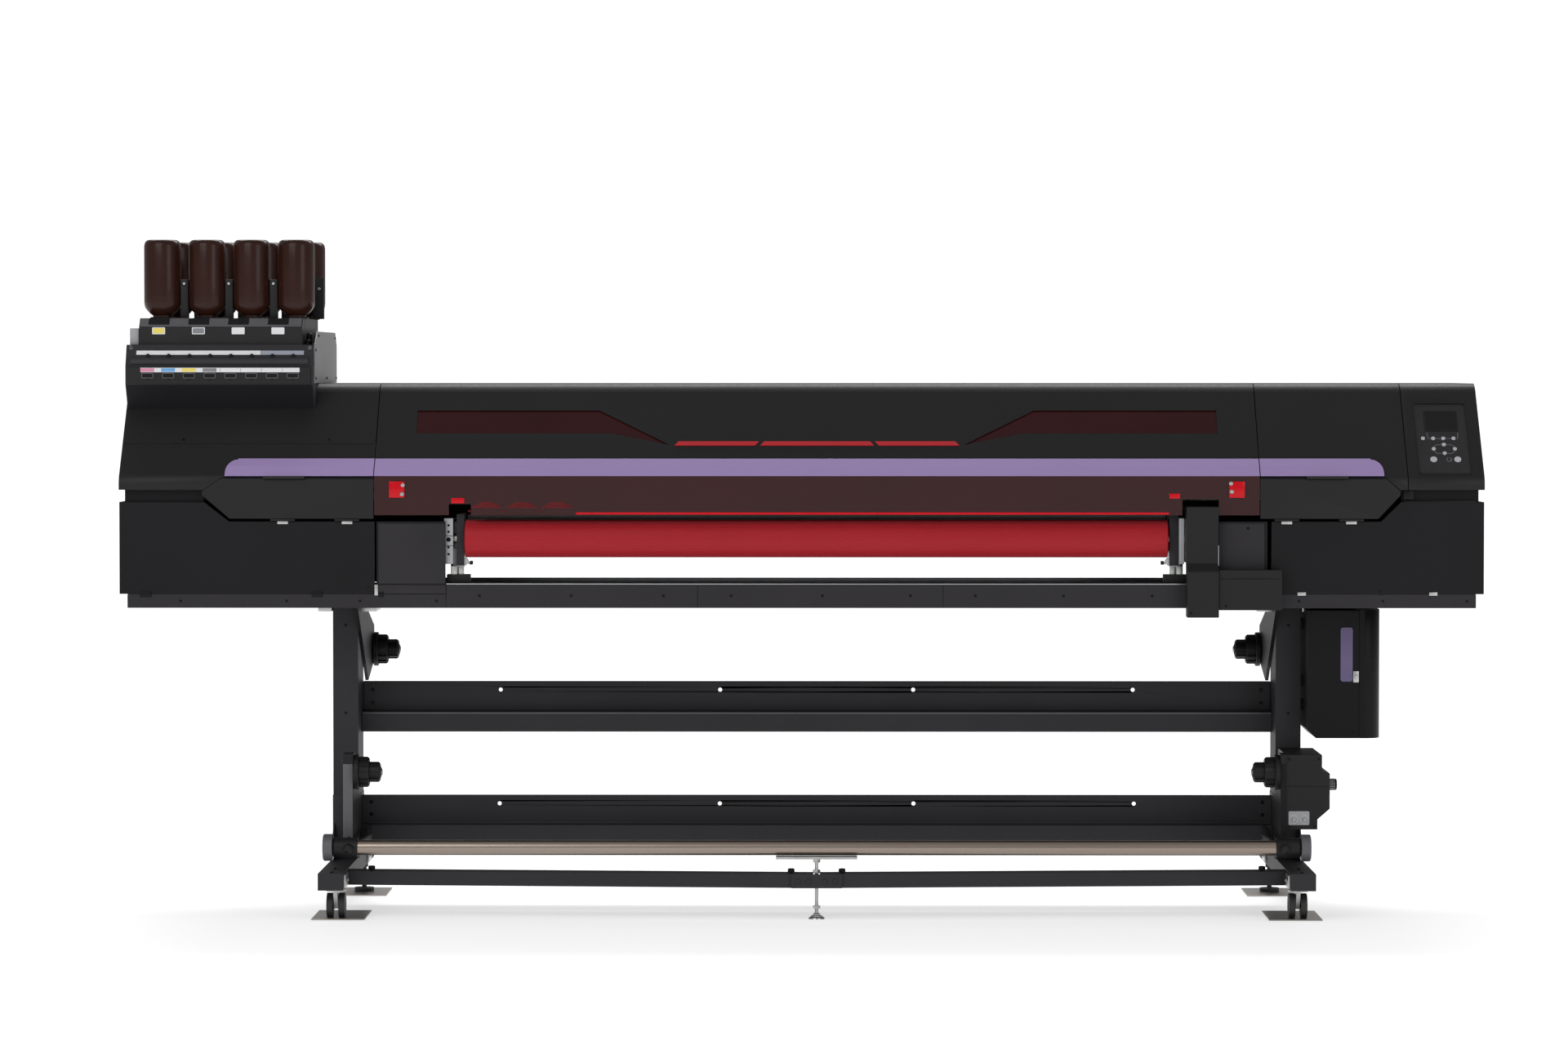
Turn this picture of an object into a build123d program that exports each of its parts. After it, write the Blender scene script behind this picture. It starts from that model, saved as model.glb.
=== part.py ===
from build123d import *
from math import cos, hypot, radians, sin
import os

os.makedirs("parts", exist_ok=True)

# A wide roll-to-roll printer on its stand. Sizes are in millimetres. X runs from left to right,
# Y from the operator's side to the back and Z up from the floor.

# Whole machine
body_w = 3344            # body over both stations
body_top = 1305          # flat top of the covers
base_z = 755             # underside of the base frame
body_back = 400          # back face, behind the stand's centre line
stand_x = 38             # stand's centre line, to the right of the body's middle
sheet = 3                # folded sheet and moulded cover walls
seam = 2                 # visible gap between two covers
touch = 0.3              # clearance between pieces that sit side by side
run = 0.05               # radial clearance of a shaft in its bore

# Body section
slope_top_y = -105       # front edge of the flat top
nose_y = -312            # foremost line of the covers
nose_z = 1071            # where the sloping face meets the nose
edge_r = 60              # rounding along the top front edge
cover_foot = 1045        # lower edge of the station covers
panel_y = -300           # front face of the lower panels and the base frame
panel_top = 1015         # upper edge of the lower panels
base_h = 34              # height of the base frame's rim at the stations
rim_h = 56               # height of its rim under the media path

# Widths, measured from the stand's centre line
cover_half = 1084        # half the width of the front cover
control_seam = 1446      # seam between the right station cover and the control cover
path_half = 866          # half the width of the media path, between the side plates
bulkhead_x = 902         # inner faces of the bulkheads that carry the platen
base_inset = 19          # base frame's ends inside the body's ends

# Front cover and trim
hinge_y = 251.5          # hinge line at the back of the front cover
barrel_r = 5             # hinge barrels, flush with the flat top
barrel_w = 60            # one knuckle
trim_top = 1119
trim_low = 1079
trim_rise = 7            # how far the trim's ridge stands off the sloping face
trim_left = 1450         # trim's outer end on the left station
trim_right = 1388        # and on the right station
visor_low = 983
visor_t = 4
window_low = 1182
window_high = 1238

# Maintenance covers in the nose
nose_cover_low = 974
nose_point = 58          # how far the pointed outer end reaches past the trim
nose_tilt = 4            # how much the lower edge stands back

# Media path
roller_r = 46.5
roller_y = -250
roller_z = 924
journal_r = 12
block_w = 22             # aluminium bearing blocks
platen_top = 966
platen_h = 76
platen_y = (-195, 150)
pulley_r = 38
drive_x = (904, 982)     # belt cover
drive_top = 1004
motor_pulley_r = 15
motor_y = -327
motor_z = 800

# Carriage and its beam
beam_y = (80, 190)
beam_z = (1010, 1150)
rail_t = 14
carriage_w = 290
carriage_park = 1150     # left side of the parked carriage
head_gap = 5             # print heads above the platen

# Ink supply on the left station
ink_right = -1243        # inner end of the ink cabinet
ink_front = -203
ink_h = 96               # cabinet's height above the covers
flap_h = 48
tray_h = 66
bottle_r = 45.5
bottle_h = 222
neck_r = 22
neck_h = 27
bottle_pitch = 111
bottle_x = -1627         # first bottle of a row
row_y = (-100, 180)

# Control panel, in the plane of the sloping face
panel_x = 1540
panel_w = 129
panel_h = 231
panel_up = 133           # middle of the panel, up the slope from the nose
recess = 6
key_r = 5
round_key_r = 8.5
key_travel = 1.5

# Stand
leg_x = (1147, 1210)
leg_y = (-50, 100)
foot_z = (74, 116)
foot_half = 445
plate_t = 3              # loose floor plates
mid_beam_z = (427, 475, 552)
low_beam_z = (150, 193, 268)
mid_beam_y = (40, 98)
low_beam_y = (-10, 45)
crossbar_z = (77, 111)
crossbar_d = 60
crossbar_end_y = -300
crossbar_mid_y = -375
rod_r = 4.5

# Reel holders and tension bar
core_r = 37.5            # fits a 3 inch core
small_core_r = 25        # fits a 2 inch core
spindle_r = 10
feed_y = 300
feed_z = 622
take_y = -270
take_z = 350
reel_base = 1137         # outer face of each core holder
pivot_y = -100
pivot_z = 168
bar_y0 = -384
bar_z0 = 174
bar_r = 18.5
arm_x = (1108, 1116)
pin_r = 8

# Take-up drive
drive_right = 1240
knob_r = 14

# Waste ink housing
waste_x = (1215, 1345)
waste_y = (-150, 100)
waste_h = 319
door_t = 54

# Casters
caster_x = 1172
caster_y = -400
wheel_r = 30
wheel_w = 15
trail = 15
axle_r = 4
leveller_x = 1160
leveller_y = 262
front_plate_x = (1100, 1230)
front_plate_y = (-425, -214)
rear_plate_x = (1095, 1225)
rear_plate_y = (160, 345)

# Values that follow from the ones above
left_end = -body_w / 2 - stand_x
right_end = body_w / 2 - stand_x
slope = (slope_top_y - nose_y) / (body_top - nose_z)
slope_len = hypot(slope_top_y - nose_y, body_top - nose_z)
up_y = (slope_top_y - nose_y) / slope_len
up_z = (body_top - nose_z) / slope_len


def on_slope(z, rise=0):
    """A (y, z) point of the sloping face at height z, raised off it along its normal."""
    return (slope_top_y - (body_top - z) * slope - rise * up_z, z + rise * up_y)


def block(x, y, z, mode=Mode.ADD):
    """A box between two limits on each axis. X is measured from the stand's centre line."""
    with Locations((stand_x + (x[0] + x[1]) / 2, (y[0] + y[1]) / 2, (z[0] + z[1]) / 2)):
        Box(x[1] - x[0], y[1] - y[0], z[1] - z[0], mode=mode)


def hollow_block(x, y, z):
    """A closed box of sheet."""
    block(x, y, z)
    block((x[0] + sheet, x[1] - sheet), (y[0] + sheet, y[1] - sheet), (z[0] + sheet, z[1] - sheet),
          Mode.SUBTRACT)


def bar_x(x, y, z, r, mode=Mode.ADD):
    """A round bar along X about the line through (y, z)."""
    with BuildSketch(Plane.YZ.offset(stand_x + x[0])) as outline:
        with Locations((y, z)):
            Circle(r)
    extrude(outline.sketch, amount=x[1] - x[0], mode=mode)


def bar_y(x, y, z, r, mode=Mode.ADD):
    """A round bar along Y about the line through (x, z)."""
    with BuildSketch(Plane.XZ.offset(-y[1])) as outline:
        with Locations((stand_x + x, z)):
            Circle(r)
    extrude(outline.sketch, amount=y[1] - y[0], mode=mode)


def bar_z(x, y, z, r, mode=Mode.ADD):
    """A round bar along Z about the line through (x, y)."""
    with BuildSketch(Plane.XY.offset(z[0])) as outline:
        with Locations((stand_x + x, y)):
            Circle(r)
    extrude(outline.sketch, amount=z[1] - z[0], mode=mode)


def section(x, points, mode=Mode.ADD):
    """A (y, z) outline extruded along X."""
    with BuildSketch(Plane.YZ.offset(stand_x + x[0])) as outline:
        Polygon(*points, align=None)
    extrude(outline.sketch, amount=x[1] - x[0], mode=mode)


def front_shape(y, points, mode=Mode.ADD):
    """An (x, z) outline, as seen from the front, extruded along Y."""
    with BuildSketch(Plane.XZ.offset(-y[1])) as outline:
        Polygon(*[(stand_x + px, pz) for px, pz in points], align=None)
    extrude(outline.sketch, amount=y[1] - y[0], mode=mode)


def bent_sheet(x, points, radii, thickness=sheet):
    """A folded sheet: an outer (y, z) line with rounded bends, thickened inwards, along X."""
    with BuildSketch(Plane.YZ.offset(stand_x + x[0])) as outline:
        with BuildLine():
            FilletPolyline(*points, radius=radii)
            offset(amount=thickness, side=Side.LEFT, kind=Kind.INTERSECTION)
        make_face()
    extrude(outline.sketch, amount=x[1] - x[0])


def end_wall(x, points, radii):
    """A flat wall that closes the end of a cover with the same outer line."""
    with BuildSketch(Plane.YZ.offset(stand_x + x[0])) as outline:
        with BuildLine():
            skin = FilletPolyline(*points, radius=radii)
            Polyline(skin @ 1, (points[0][0], points[-1][1]), skin @ 0)
        make_face()
    extrude(outline.sketch, amount=x[1] - x[0])


def save(piece, label):
    """Label a finished sub-part and write it as its own STEP file."""
    piece.part.label = label
    export_step(piece.part, f"parts/{label}.step")


def mirrored(limits, side):
    """X limits for the left (-1) or right (+1) side, lowest first."""
    return tuple(sorted(side * v for v in limits))


# ---- Stand ----

gusset_t = 5
gusset_reach = 80
gusset_h = 90

with BuildPart() as stand_legs:
    for side in (-1, 1):
        leg = mirrored(leg_x, side)
        block(leg, leg_y, (foot_z[1], base_z))
        block((leg[0] + sheet, leg[1] - sheet), (leg_y[0] + sheet, leg_y[1] - sheet),
              (foot_z[1] + sheet, base_z - sheet), Mode.SUBTRACT)
        outer = mirrored((leg_x[1] - gusset_t, leg_x[1]), side)
        for face_y, reach in ((leg_y[0], -gusset_reach), (leg_y[1], gusset_reach)):
            section(outer, [(face_y, foot_z[1]), (face_y + reach, foot_z[1]), (face_y, foot_z[1] + gusset_h)])
save(stand_legs, "stand_legs")

with BuildPart() as stand_feet:
    for side in (-1, 1):
        foot = mirrored((leg_x[0] + sheet, leg_x[1] + 2), side)
        block(foot, (-foot_half, foot_half), foot_z)
        block((foot[0] + sheet, foot[1] - sheet), (sheet - foot_half, foot_half - sheet),
              (foot_z[0] + sheet, foot_z[1] - sheet), Mode.SUBTRACT)
save(stand_feet, "stand_feet")

hole_r = 5
hole_x = (-799, -244, 244, 799)


def channel_beam(y, z):
    """A folded channel: a back plate, a ledge and a front lip, with a row of holes in the back."""
    low, fold, high = z
    half = leg_x[0]
    block((-half, half), (y[1] - sheet, y[1]), (fold, high))
    block((-half, half), (y[0], y[1] - sheet), (fold, fold + sheet))
    block((-half, half), (y[0], y[0] + sheet), (low, fold))
    block((-half, half), (y[0] + sheet, y[1]), (low, low + sheet))
    for x in hole_x:
        bar_y(x, (y[1] - 2 * sheet, y[1] + sheet), high - 22, hole_r, Mode.SUBTRACT)


with BuildPart() as cross_beams:
    channel_beam(mid_beam_y, mid_beam_z)
    channel_beam(low_beam_y, low_beam_z)
save(cross_beams, "cross_beams")

half_gap = 8             # between the crossbar's halves, where the post goes through
joiner_half = 62
joiner_t = 4

joiner_bolt_x = (-45, -20, 20, 45)
bolt_r = 5
bolt_h = 4

with BuildPart() as crossbar:
    half_d = crossbar_d / 2
    for side in (-1, 1):
        ends = [(side * half_gap, crossbar_mid_y), (side * (leg_x[0] + sheet), crossbar_end_y)]
        with BuildSketch(Plane.XY.offset(crossbar_z[0])):
            corners = [(x, y - half_d) for x, y in ends] + [(x, y + half_d) for x, y in ends[::-1]]
            Polygon(*[(stand_x + x, y) for x, y in corners], align=None)
        extrude(amount=crossbar_z[1] - crossbar_z[0])
    joiner_back = crossbar_mid_y - half_d - touch
    joiner_front = joiner_back - joiner_t
    block((-joiner_half, joiner_half), (joiner_front, joiner_back), crossbar_z)
    for x in joiner_bolt_x:
        bar_y(x, (joiner_front - bolt_h, joiner_front), sum(crossbar_z) / 2, bolt_r)
save(crossbar, "crossbar")

rest_w = 198
rest_d = 40
rest_z = (147, 153)
post_foot_h = 8
post_foot_r = 14
nut_r = 8
nut_h = 7

with BuildPart() as center_post:
    block((-rest_w / 2, rest_w / 2), (bar_y0 - rest_d / 2, bar_y0 + rest_d / 2), rest_z)
    bar_z(0, bar_y0, (post_foot_h, rest_z[0]), rod_r)
    bar_z(0, bar_y0, (0, post_foot_h), post_foot_r)
    for z in (crossbar_z[1] + 1, rest_z[0] - nut_h - 1):
        bar_z(0, bar_y0, (z, z + nut_h), nut_r)
save(center_post, "center_post")

with BuildPart() as floor_plates:
    for side in (-1, 1):
        block(mirrored(front_plate_x, side), front_plate_y, (0, plate_t))
        block(mirrored(rear_plate_x, side), rear_plate_y, (0, plate_t))
save(floor_plates, "floor_plates")

pad_r = 25
pad_h = 9
stem_r = 6
stem_nut_r = 10

with BuildPart() as levelling_feet:
    for side in (-1, 1):
        bar_z(side * leveller_x, leveller_y, (plate_t, plate_t + pad_h), pad_r)
        bar_z(side * leveller_x, leveller_y, (plate_t + pad_h, foot_z[0]), stem_r)
        bar_z(side * leveller_x, leveller_y, (foot_z[0] - pad_h, foot_z[0]), stem_nut_r)
save(levelling_feet, "levelling_feet")

# ---- Casters: a swivelling fork, twin wheels on one axle and a brake pedal ----

web_half = 5
wheel_z = plate_t + touch + wheel_r
pedal_y = caster_y + trail + 18
pedal_z = 66
pedal_pin_r = 2

for side, name in ((-1, "left"), (1, "right")):
    x0 = side * caster_x
    axle_y = caster_y + trail
    with BuildPart() as caster_fork:
        bar_z(x0, caster_y, (foot_z[0] - 5, foot_z[0] - touch), 24)
        section((x0 - web_half, x0 + web_half),
                [(caster_y - 15, foot_z[0] - 5), (pedal_y + 4, foot_z[0] - 5), (pedal_y + 4, pedal_z - 5),
                 (axle_y + 8, wheel_z - 8), (axle_y - 8, wheel_z - 8)])
        bar_x((x0 - web_half, x0 + web_half), axle_y, wheel_z, axle_r + run, Mode.SUBTRACT)
        bar_x((x0 - web_half, x0 + web_half), pedal_y, pedal_z, pedal_pin_r + run, Mode.SUBTRACT)
    save(caster_fork, f"{name}_caster_fork")
    with BuildPart() as caster_wheels:
        bar_x((x0 - 20, x0 + 20), axle_y, wheel_z, axle_r)
        for inner in (web_half + 2, -web_half - 2 - wheel_w):
            bar_x((x0 + inner, x0 + inner + wheel_w), axle_y, wheel_z, wheel_r)
    save(caster_wheels, f"{name}_caster_wheels")
    with BuildPart() as caster_brake:
        bar_x((x0 - 12, x0 + 12), pedal_y, pedal_z, pedal_pin_r)
        for cheek in (-12, web_half + 1):
            block((x0 + cheek, x0 + cheek + 6), (pedal_y - 3, pedal_y + 12), (pedal_z - 2, pedal_z + 2))
        block((x0 - 16, x0 + 16), (pedal_y + 12, pedal_y + 30), (pedal_z - 2, pedal_z + 2))
    save(caster_brake, f"{name}_caster_brake")

# ---- Base frame: a shallow tray with uprights for the platen and the beam ----

tray_x = (left_end + base_inset, right_end - base_inset)
tray_top = base_z + base_h
rim_x = (-cover_half + 176, cover_half + 20)
bulkhead_t = 6
beam_post_x = ((left_end + 90, left_end + 110), (right_end - 74, right_end - 54))

with BuildPart() as base_frame:
    block(tray_x, (panel_y, body_back - sheet), (base_z, base_z + sheet))
    block(tray_x, (panel_y, panel_y + sheet), (base_z + sheet, tray_top))
    block(tray_x, (body_back - 2 * sheet, body_back - sheet), (base_z + sheet, tray_top))
    block(rim_x, (panel_y, panel_y + sheet), (tray_top, base_z + rim_h))
    for x in (tray_x[0], tray_x[1] - sheet):
        block((x, x + sheet), (panel_y + sheet, body_back - 2 * sheet), (base_z + sheet, tray_top))
    for side in (-1, 1):
        block(mirrored((bulkhead_x, bulkhead_x + bulkhead_t), side), (platen_y[0] + 50, platen_y[1] + 100),
              (base_z + sheet + touch, platen_top))
    for x in beam_post_x:
        block(x, beam_y, (base_z + sheet + touch, beam_z[0]))
save(base_frame, "base_frame")

with BuildPart() as platen:
    hollow_block((-path_half, path_half), platen_y, (platen_top - platen_h, platen_top))
    for side in (-1, 1):
        block(mirrored((path_half, bulkhead_x), side), (platen_y[0] + 55, platen_y[1]),
              (platen_top - platen_h + 5, platen_top - 6))
save(platen, "platen")

# ---- Guide beam and print carriage ----

rail_h = 16
rail_z = (beam_z[0] + 30, beam_z[1] - 30)
carriage_back = beam_y[0] - rail_t - touch
carriage_front = -185
carriage_x = (carriage_park, carriage_park + carriage_w)
lamp_w = 60
bearing_t = 16

with BuildPart() as guide_beam:
    beam_x = (left_end + 30, right_end - 30)
    block(beam_x, beam_y, beam_z)
    block((beam_x[0] - 1, beam_x[1] + 1), (beam_y[0] + 8, beam_y[1] - 8), (beam_z[0] + 8, beam_z[1] - 8),
          Mode.SUBTRACT)
    for z in rail_z:
        block((beam_x[0] + 20, beam_x[1] - 20), (beam_y[0] - rail_t, beam_y[0]),
              (z - rail_h / 2, z + rail_h / 2))
save(guide_beam, "guide_beam")

with BuildPart() as print_carriage:
    body_z = (platen_top + head_gap + 14, beam_z[1] + 15)
    head_low = platen_top + head_gap
    middle_x = (carriage_x[0] + lamp_w, carriage_x[1] - lamp_w)
    block(middle_x, (carriage_front, carriage_back - bearing_t), body_z)
    block((middle_x[0] + 15, middle_x[1] - 15), (carriage_front + 30, carriage_back - 60),
          (head_low, body_z[0]))
    for x in (carriage_x[0], middle_x[1]):
        block((x, x + lamp_w), (carriage_front + 20, carriage_back - 50), (head_low, body_z[1] - 70))
    for z in rail_z:
        block((middle_x[0] + 10, middle_x[1] - 10), (carriage_back - bearing_t, carriage_back),
              (z - rail_h, z + rail_h))
    top_edges = print_carriage.edges().filter_by(Axis.X).group_by(Axis.Z)[-1]
    chamfer(top_edges.sort_by(Axis.Y)[0], length=20)
save(print_carriage, "print_carriage")

# ---- Covers ----

cover_line = [(body_back - sheet, body_top), (slope_top_y, body_top), (nose_y, nose_z), (nose_y, cover_foot)]
nose_r = 35
left_point = -trim_left - nose_point
right_point = trim_right + nose_point - 16
front_of_covers = (nose_y - 60, nose_y + 60)

with BuildPart() as left_station_cover:
    inner_end = -cover_half - seam
    bent_sheet((left_end, inner_end), cover_line, [edge_r, nose_r])
    end_wall((left_end, left_end + sheet), cover_line, [edge_r, nose_r])
    front_shape(front_of_covers,
                [(inner_end + 1, trim_low), (-trim_left, trim_low), (left_point - seam, cover_foot - 4),
                 (left_point - seam, cover_foot - 20), (inner_end + 1, cover_foot - 20)],
                Mode.SUBTRACT)
save(left_station_cover, "left_station_cover")

with BuildPart() as right_station_cover:
    inner_end = cover_half + seam
    bent_sheet((inner_end, control_seam), cover_line, [edge_r, nose_r])
    front_shape(front_of_covers,
                [(inner_end - 1, trim_low), (trim_right, trim_low), (right_point + seam, cover_foot - 4),
                 (right_point + seam, cover_foot - 20), (inner_end - 1, cover_foot - 20)],
                Mode.SUBTRACT)
save(right_station_cover, "right_station_cover")

# The control panel lies in a tub pressed into the sloping face of the control cover.
face = Plane(origin=(stand_x + panel_x, nose_y, nose_z), x_dir=(1, 0, 0), z_dir=(0, -up_z, up_y))


def tilted_box(x, up, depth, mode=Mode.ADD):
    """A box square to the sloping face: x from the panel's middle, up the slope, and out of the face."""
    with BuildSketch(face.offset(depth[0])) as outline:
        with Locations(((x[0] + x[1]) / 2, (up[0] + up[1]) / 2)):
            Rectangle(x[1] - x[0], up[1] - up[0])
    extrude(outline.sketch, amount=depth[1] - depth[0], mode=mode)


tub_x = (-panel_w / 2, panel_w / 2)
tub_up = (panel_up - panel_h / 2, panel_up + panel_h / 2)

with BuildPart() as control_cover:
    bent_sheet((control_seam + seam, right_end), cover_line, [edge_r, nose_r])
    end_wall((right_end - sheet, right_end), cover_line, [edge_r, nose_r])
    tilted_box((tub_x[0] - sheet, tub_x[1] + sheet), (tub_up[0] - sheet, tub_up[1] + sheet),
               (-recess - sheet, -1))
    tilted_box(tub_x, tub_up, (-recess, sheet), Mode.SUBTRACT)
save(control_cover, "control_cover")

keys = {f"function_key_{i + 1}": (-47.5 + 25 * i, 133.5, key_r) for i in range(4)}
keys.update({"arrow_up_key": (2.5, 113.5, key_r), "arrow_left_key": (-23.5, 99.5, key_r),
             "arrow_right_key": (28.5, 99.5, key_r), "arrow_down_key": (2.5, 85.5, key_r),
             "stop_key": (-26, 65.5, round_key_r), "start_key": (33, 65.5, round_key_r)})
key_gap = 0.3
plate_face = 4 - recess

with BuildPart() as control_panel:
    tilted_box((tub_x[0] + touch, tub_x[1] - touch), (tub_up[0] + touch, tub_up[1] - touch),
               (-recess, plate_face))
    for kx, kup, r in keys.values():
        with BuildSketch(face.offset(-recess)):
            with Locations((kx, kup)):
                Circle(r + key_gap)
        extrude(amount=recess, mode=Mode.SUBTRACT)
save(control_panel, "control_panel")

for label, (kx, kup, r) in keys.items():
    with BuildPart() as key:
        with BuildSketch(face.offset(-recess + key_travel + 0.3)):
            with Locations((kx, kup)):
                Circle(r)
        extrude(amount=4.5)
        fillet(key.edges().filter_by(GeomType.CIRCLE).sort_by(Axis.Z)[-1], radius=0.8)
    save(key, label)

hinge_z = body_top - barrel_r
leaf_z = (hinge_z - 1, body_top - sheet + 1)

with BuildPart() as rear_cover:
    half = cover_half - seam
    bent_sheet((-half, half), [(body_back, platen_top - platen_h - 5), (body_back, body_top),
                               (hinge_y + barrel_r + 1, body_top)], [20])
    for x in ((left_end + seam, -half), (half, right_end - seam)):
        block(x, (body_back - sheet, body_back), (tray_top + 1, body_top - seam))
    for x in (-800, 0, 800):
        for knuckle in (x - barrel_w - touch, x + barrel_w + touch):
            knuckle_x = (knuckle - barrel_w / 2, knuckle + barrel_w / 2)
            bar_x(knuckle_x, hinge_y, hinge_z, barrel_r)
            block(knuckle_x, (hinge_y + seam, hinge_y + 2 * barrel_r), leaf_z)
save(rear_cover, "rear_cover")


def window_shape(side, grow=0):
    """Outline of a slanted window in the front cover, seen from the front."""
    low, high = window_low - grow, window_high + grow
    return [(side * (988 + grow), low), (side * (988 + grow), high), (side * 537, high),
            (side * (362 - grow), window_low - 28), (side * 506, low)]


cover_x = (-cover_half, cover_half)
cover_skin = [(hinge_y - barrel_r - 1, body_top), (slope_top_y, body_top), on_slope(trim_low)]
rib = 22

with BuildPart() as front_cover:
    bent_sheet(cover_x, cover_skin, [edge_r])
    for x in (cover_x[0], cover_x[1] - sheet):
        bent_sheet((x, x + sheet), cover_skin, [edge_r], rib)
    for side in (-1, 1):
        front_shape((nose_y, slope_top_y + 60), window_shape(side), Mode.SUBTRACT)
    for x in (-800, 0, 800):
        knuckle_x = (x - barrel_w / 2, x + barrel_w / 2)
        bar_x(knuckle_x, hinge_y, hinge_z, barrel_r)
        block(knuckle_x, (hinge_y - 2 * barrel_r, hinge_y - seam), leaf_z)
save(front_cover, "front_cover")

visor_y = on_slope(trim_low)[0] - 7
visor_foot = nose_y + nose_tilt
visor_notch_left = (-901, -847)
visor_notch_right = (drive_x[0] - 9, drive_x[1] + seam)

with BuildPart() as red_windows:
    pane = [on_slope(window_low - 40, -sheet), on_slope(window_high + 12, -sheet),
            on_slope(window_high + 12, -sheet - 2), on_slope(window_low - 40, -sheet - 2)]
    for side in (-1, 1):
        section(mirrored((350, 1000), side), pane)
    section(cover_x, [(visor_y, trim_low), (visor_foot, visor_low), (visor_foot + visor_t, visor_low),
                      (visor_y + visor_t, trim_low)])
    for x, top in ((visor_notch_left, visor_low + 27), (visor_notch_right, visor_low + 39)):
        block(x, (nose_y - 20, nose_y + 20), (visor_low, top), Mode.SUBTRACT)
save(red_windows, "red_windows")

trim_section = [on_slope(trim_low), on_slope(trim_top), on_slope(trim_top, trim_rise / 2),
                on_slope((trim_top + trim_low) / 2, trim_rise), (visor_y - 3, trim_low)]

with BuildPart() as trim_center:
    section(cover_x, trim_section)
save(trim_center, "trim_center")

trim_end_r = 30          # curve at the upper outer corners
above_trim = trim_top + trim_rise

with BuildPart() as trim_sides:
    section((-trim_left, -cover_half - seam), trim_section)
    section((cover_half + seam, trim_right), trim_section)
    for x, inward in ((-trim_left, 1), (trim_right, -1)):
        turned = [radians(15 * i) for i in range(7)]
        curve = [(x + inward * trim_end_r * (1 - sin(t)), trim_top - trim_end_r * (1 - cos(t)))
                 for t in turned]
        front_shape((nose_y - 40, nose_y + 100),
                    [(x + inward * trim_end_r, above_trim), *curve, (x, above_trim)], Mode.SUBTRACT)
save(trim_sides, "trim_sides")

nose_section = [(nose_y + 18, trim_low - seam), (on_slope(trim_low - seam)[0], trim_low - seam),
                (nose_y, nose_z), (nose_y + nose_tilt, nose_cover_low),
                (nose_y + nose_tilt + 10, nose_cover_low)]


pin_y = nose_y + nose_tilt + 3
pin_z = nose_cover_low - 3
nose_pin_r = 3
nose_pins = (65, 223)    # middles of the hinge pins, from the cover's inner end


def nose_cover(inner, shoulder, point):
    """A hinged maintenance cover: a shallow channel with a pointed outer end, on two hinge pins."""
    low_shoulder = shoulder + (10 if shoulder < 0 else -12)
    bent_sheet(tuple(sorted((inner, point))), nose_section, [2, 4, 2])
    top = trim_low
    middle = cover_foot - 8
    tips = [(shoulder, top), (point, middle + 5), (point, middle - 5), (low_shoulder, nose_cover_low)]
    front_shape(front_of_covers, [(inner, top)] + tips + [(inner, nose_cover_low)], Mode.INTERSECT)
    outward = 1 if point > inner else -1
    for along in nose_pins:
        middle_x = inner + outward * along
        pin = (middle_x - barrel_w / 2, middle_x + barrel_w / 2)
        bar_x(pin, pin_y, pin_z, nose_pin_r)
        block(pin, (pin_y - 1, pin_y + 1), (pin_z + 1, nose_cover_low + 1))


with BuildPart() as left_nose_cover:
    nose_cover(-cover_half - seam, -trim_left + seam, left_point + seam)
save(left_nose_cover, "left_nose_cover")

with BuildPart() as right_nose_cover:
    nose_cover(cover_half + seam, trim_right - seam, right_point - seam)
save(right_nose_cover, "right_nose_cover")

# ---- Fixed panels below the covers ----

tongue_in = 15           # how far the recessed tongue stands back from the panel's face
tongue_y = panel_y + tongue_in
tongue_top = cover_foot + 12
lower_section = [(tongue_y, tongue_top), (tongue_y, panel_top), (panel_y, panel_top),
                 (panel_y, tray_top + touch)]
nose_cut_low = nose_cover_low - 7
right_panel_start = cover_half + 30


def lower_panel(x, outer, shoulder, point, inner):
    """A station's lower front panel with its end wall, cut away below the nose cover."""
    bent_sheet(x, lower_section, [1, 1])
    inward = 1 if outer < 0 else -1

    def from_end(near, far):
        return tuple(sorted((outer + inward * near, outer + inward * far)))

    back = (tongue_y, body_back - sheet)
    block(from_end(0, sheet), (panel_y, back[1]), (tray_top + touch, panel_top))
    block(from_end(0, tongue_in), back, (panel_top - sheet, panel_top))
    block(from_end(tongue_in - sheet, tongue_in), back, (panel_top, tongue_top))
    block(from_end(0, tongue_in - sheet), (tongue_y - 1, tongue_y + sheet + 1), (panel_top, tongue_top),
          Mode.SUBTRACT)
    front_shape(front_of_covers,
                [(inner, nose_cut_low), (shoulder, nose_cut_low), (point, panel_top + 2),
                 (point, cover_foot + 30), (inner, cover_foot + 30)],
                Mode.SUBTRACT)


inner_panel_z = (base_z + rim_h + touch, nose_cut_low)

with BuildPart() as front_panels:
    lower_panel((left_end, -cover_half), left_end, 9 - trim_left, left_point + 3, 1 - cover_half)
    lower_panel((right_panel_start, right_end), right_end, trim_right - 6, right_point + 3,
                right_panel_start - 1)
    for x in ((-cover_half + 5, rim_x[0] - seam), (cover_half - 99, rim_x[1])):
        block(x, (panel_y, panel_y + sheet), inner_panel_z)
save(front_panels, "front_panels")

# ---- Exit roller, its brackets and its belt drive ----

pulley_x = (912, 936)
bracket_z = (856, 984)
bracket_y = (roller_y - 22, platen_y[0] + 20)
block_z = (862, 975)
block_half = 25

with BuildPart() as exit_roller:
    bar_x((seam - path_half, path_half - 4), roller_y, roller_z, roller_r)
    bar_x((-path_half - 44, pulley_x[1] + 4), roller_y, roller_z, journal_r)
    bar_x(pulley_x, roller_y, roller_z, pulley_r)
save(exit_roller, "exit_roller")

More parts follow.
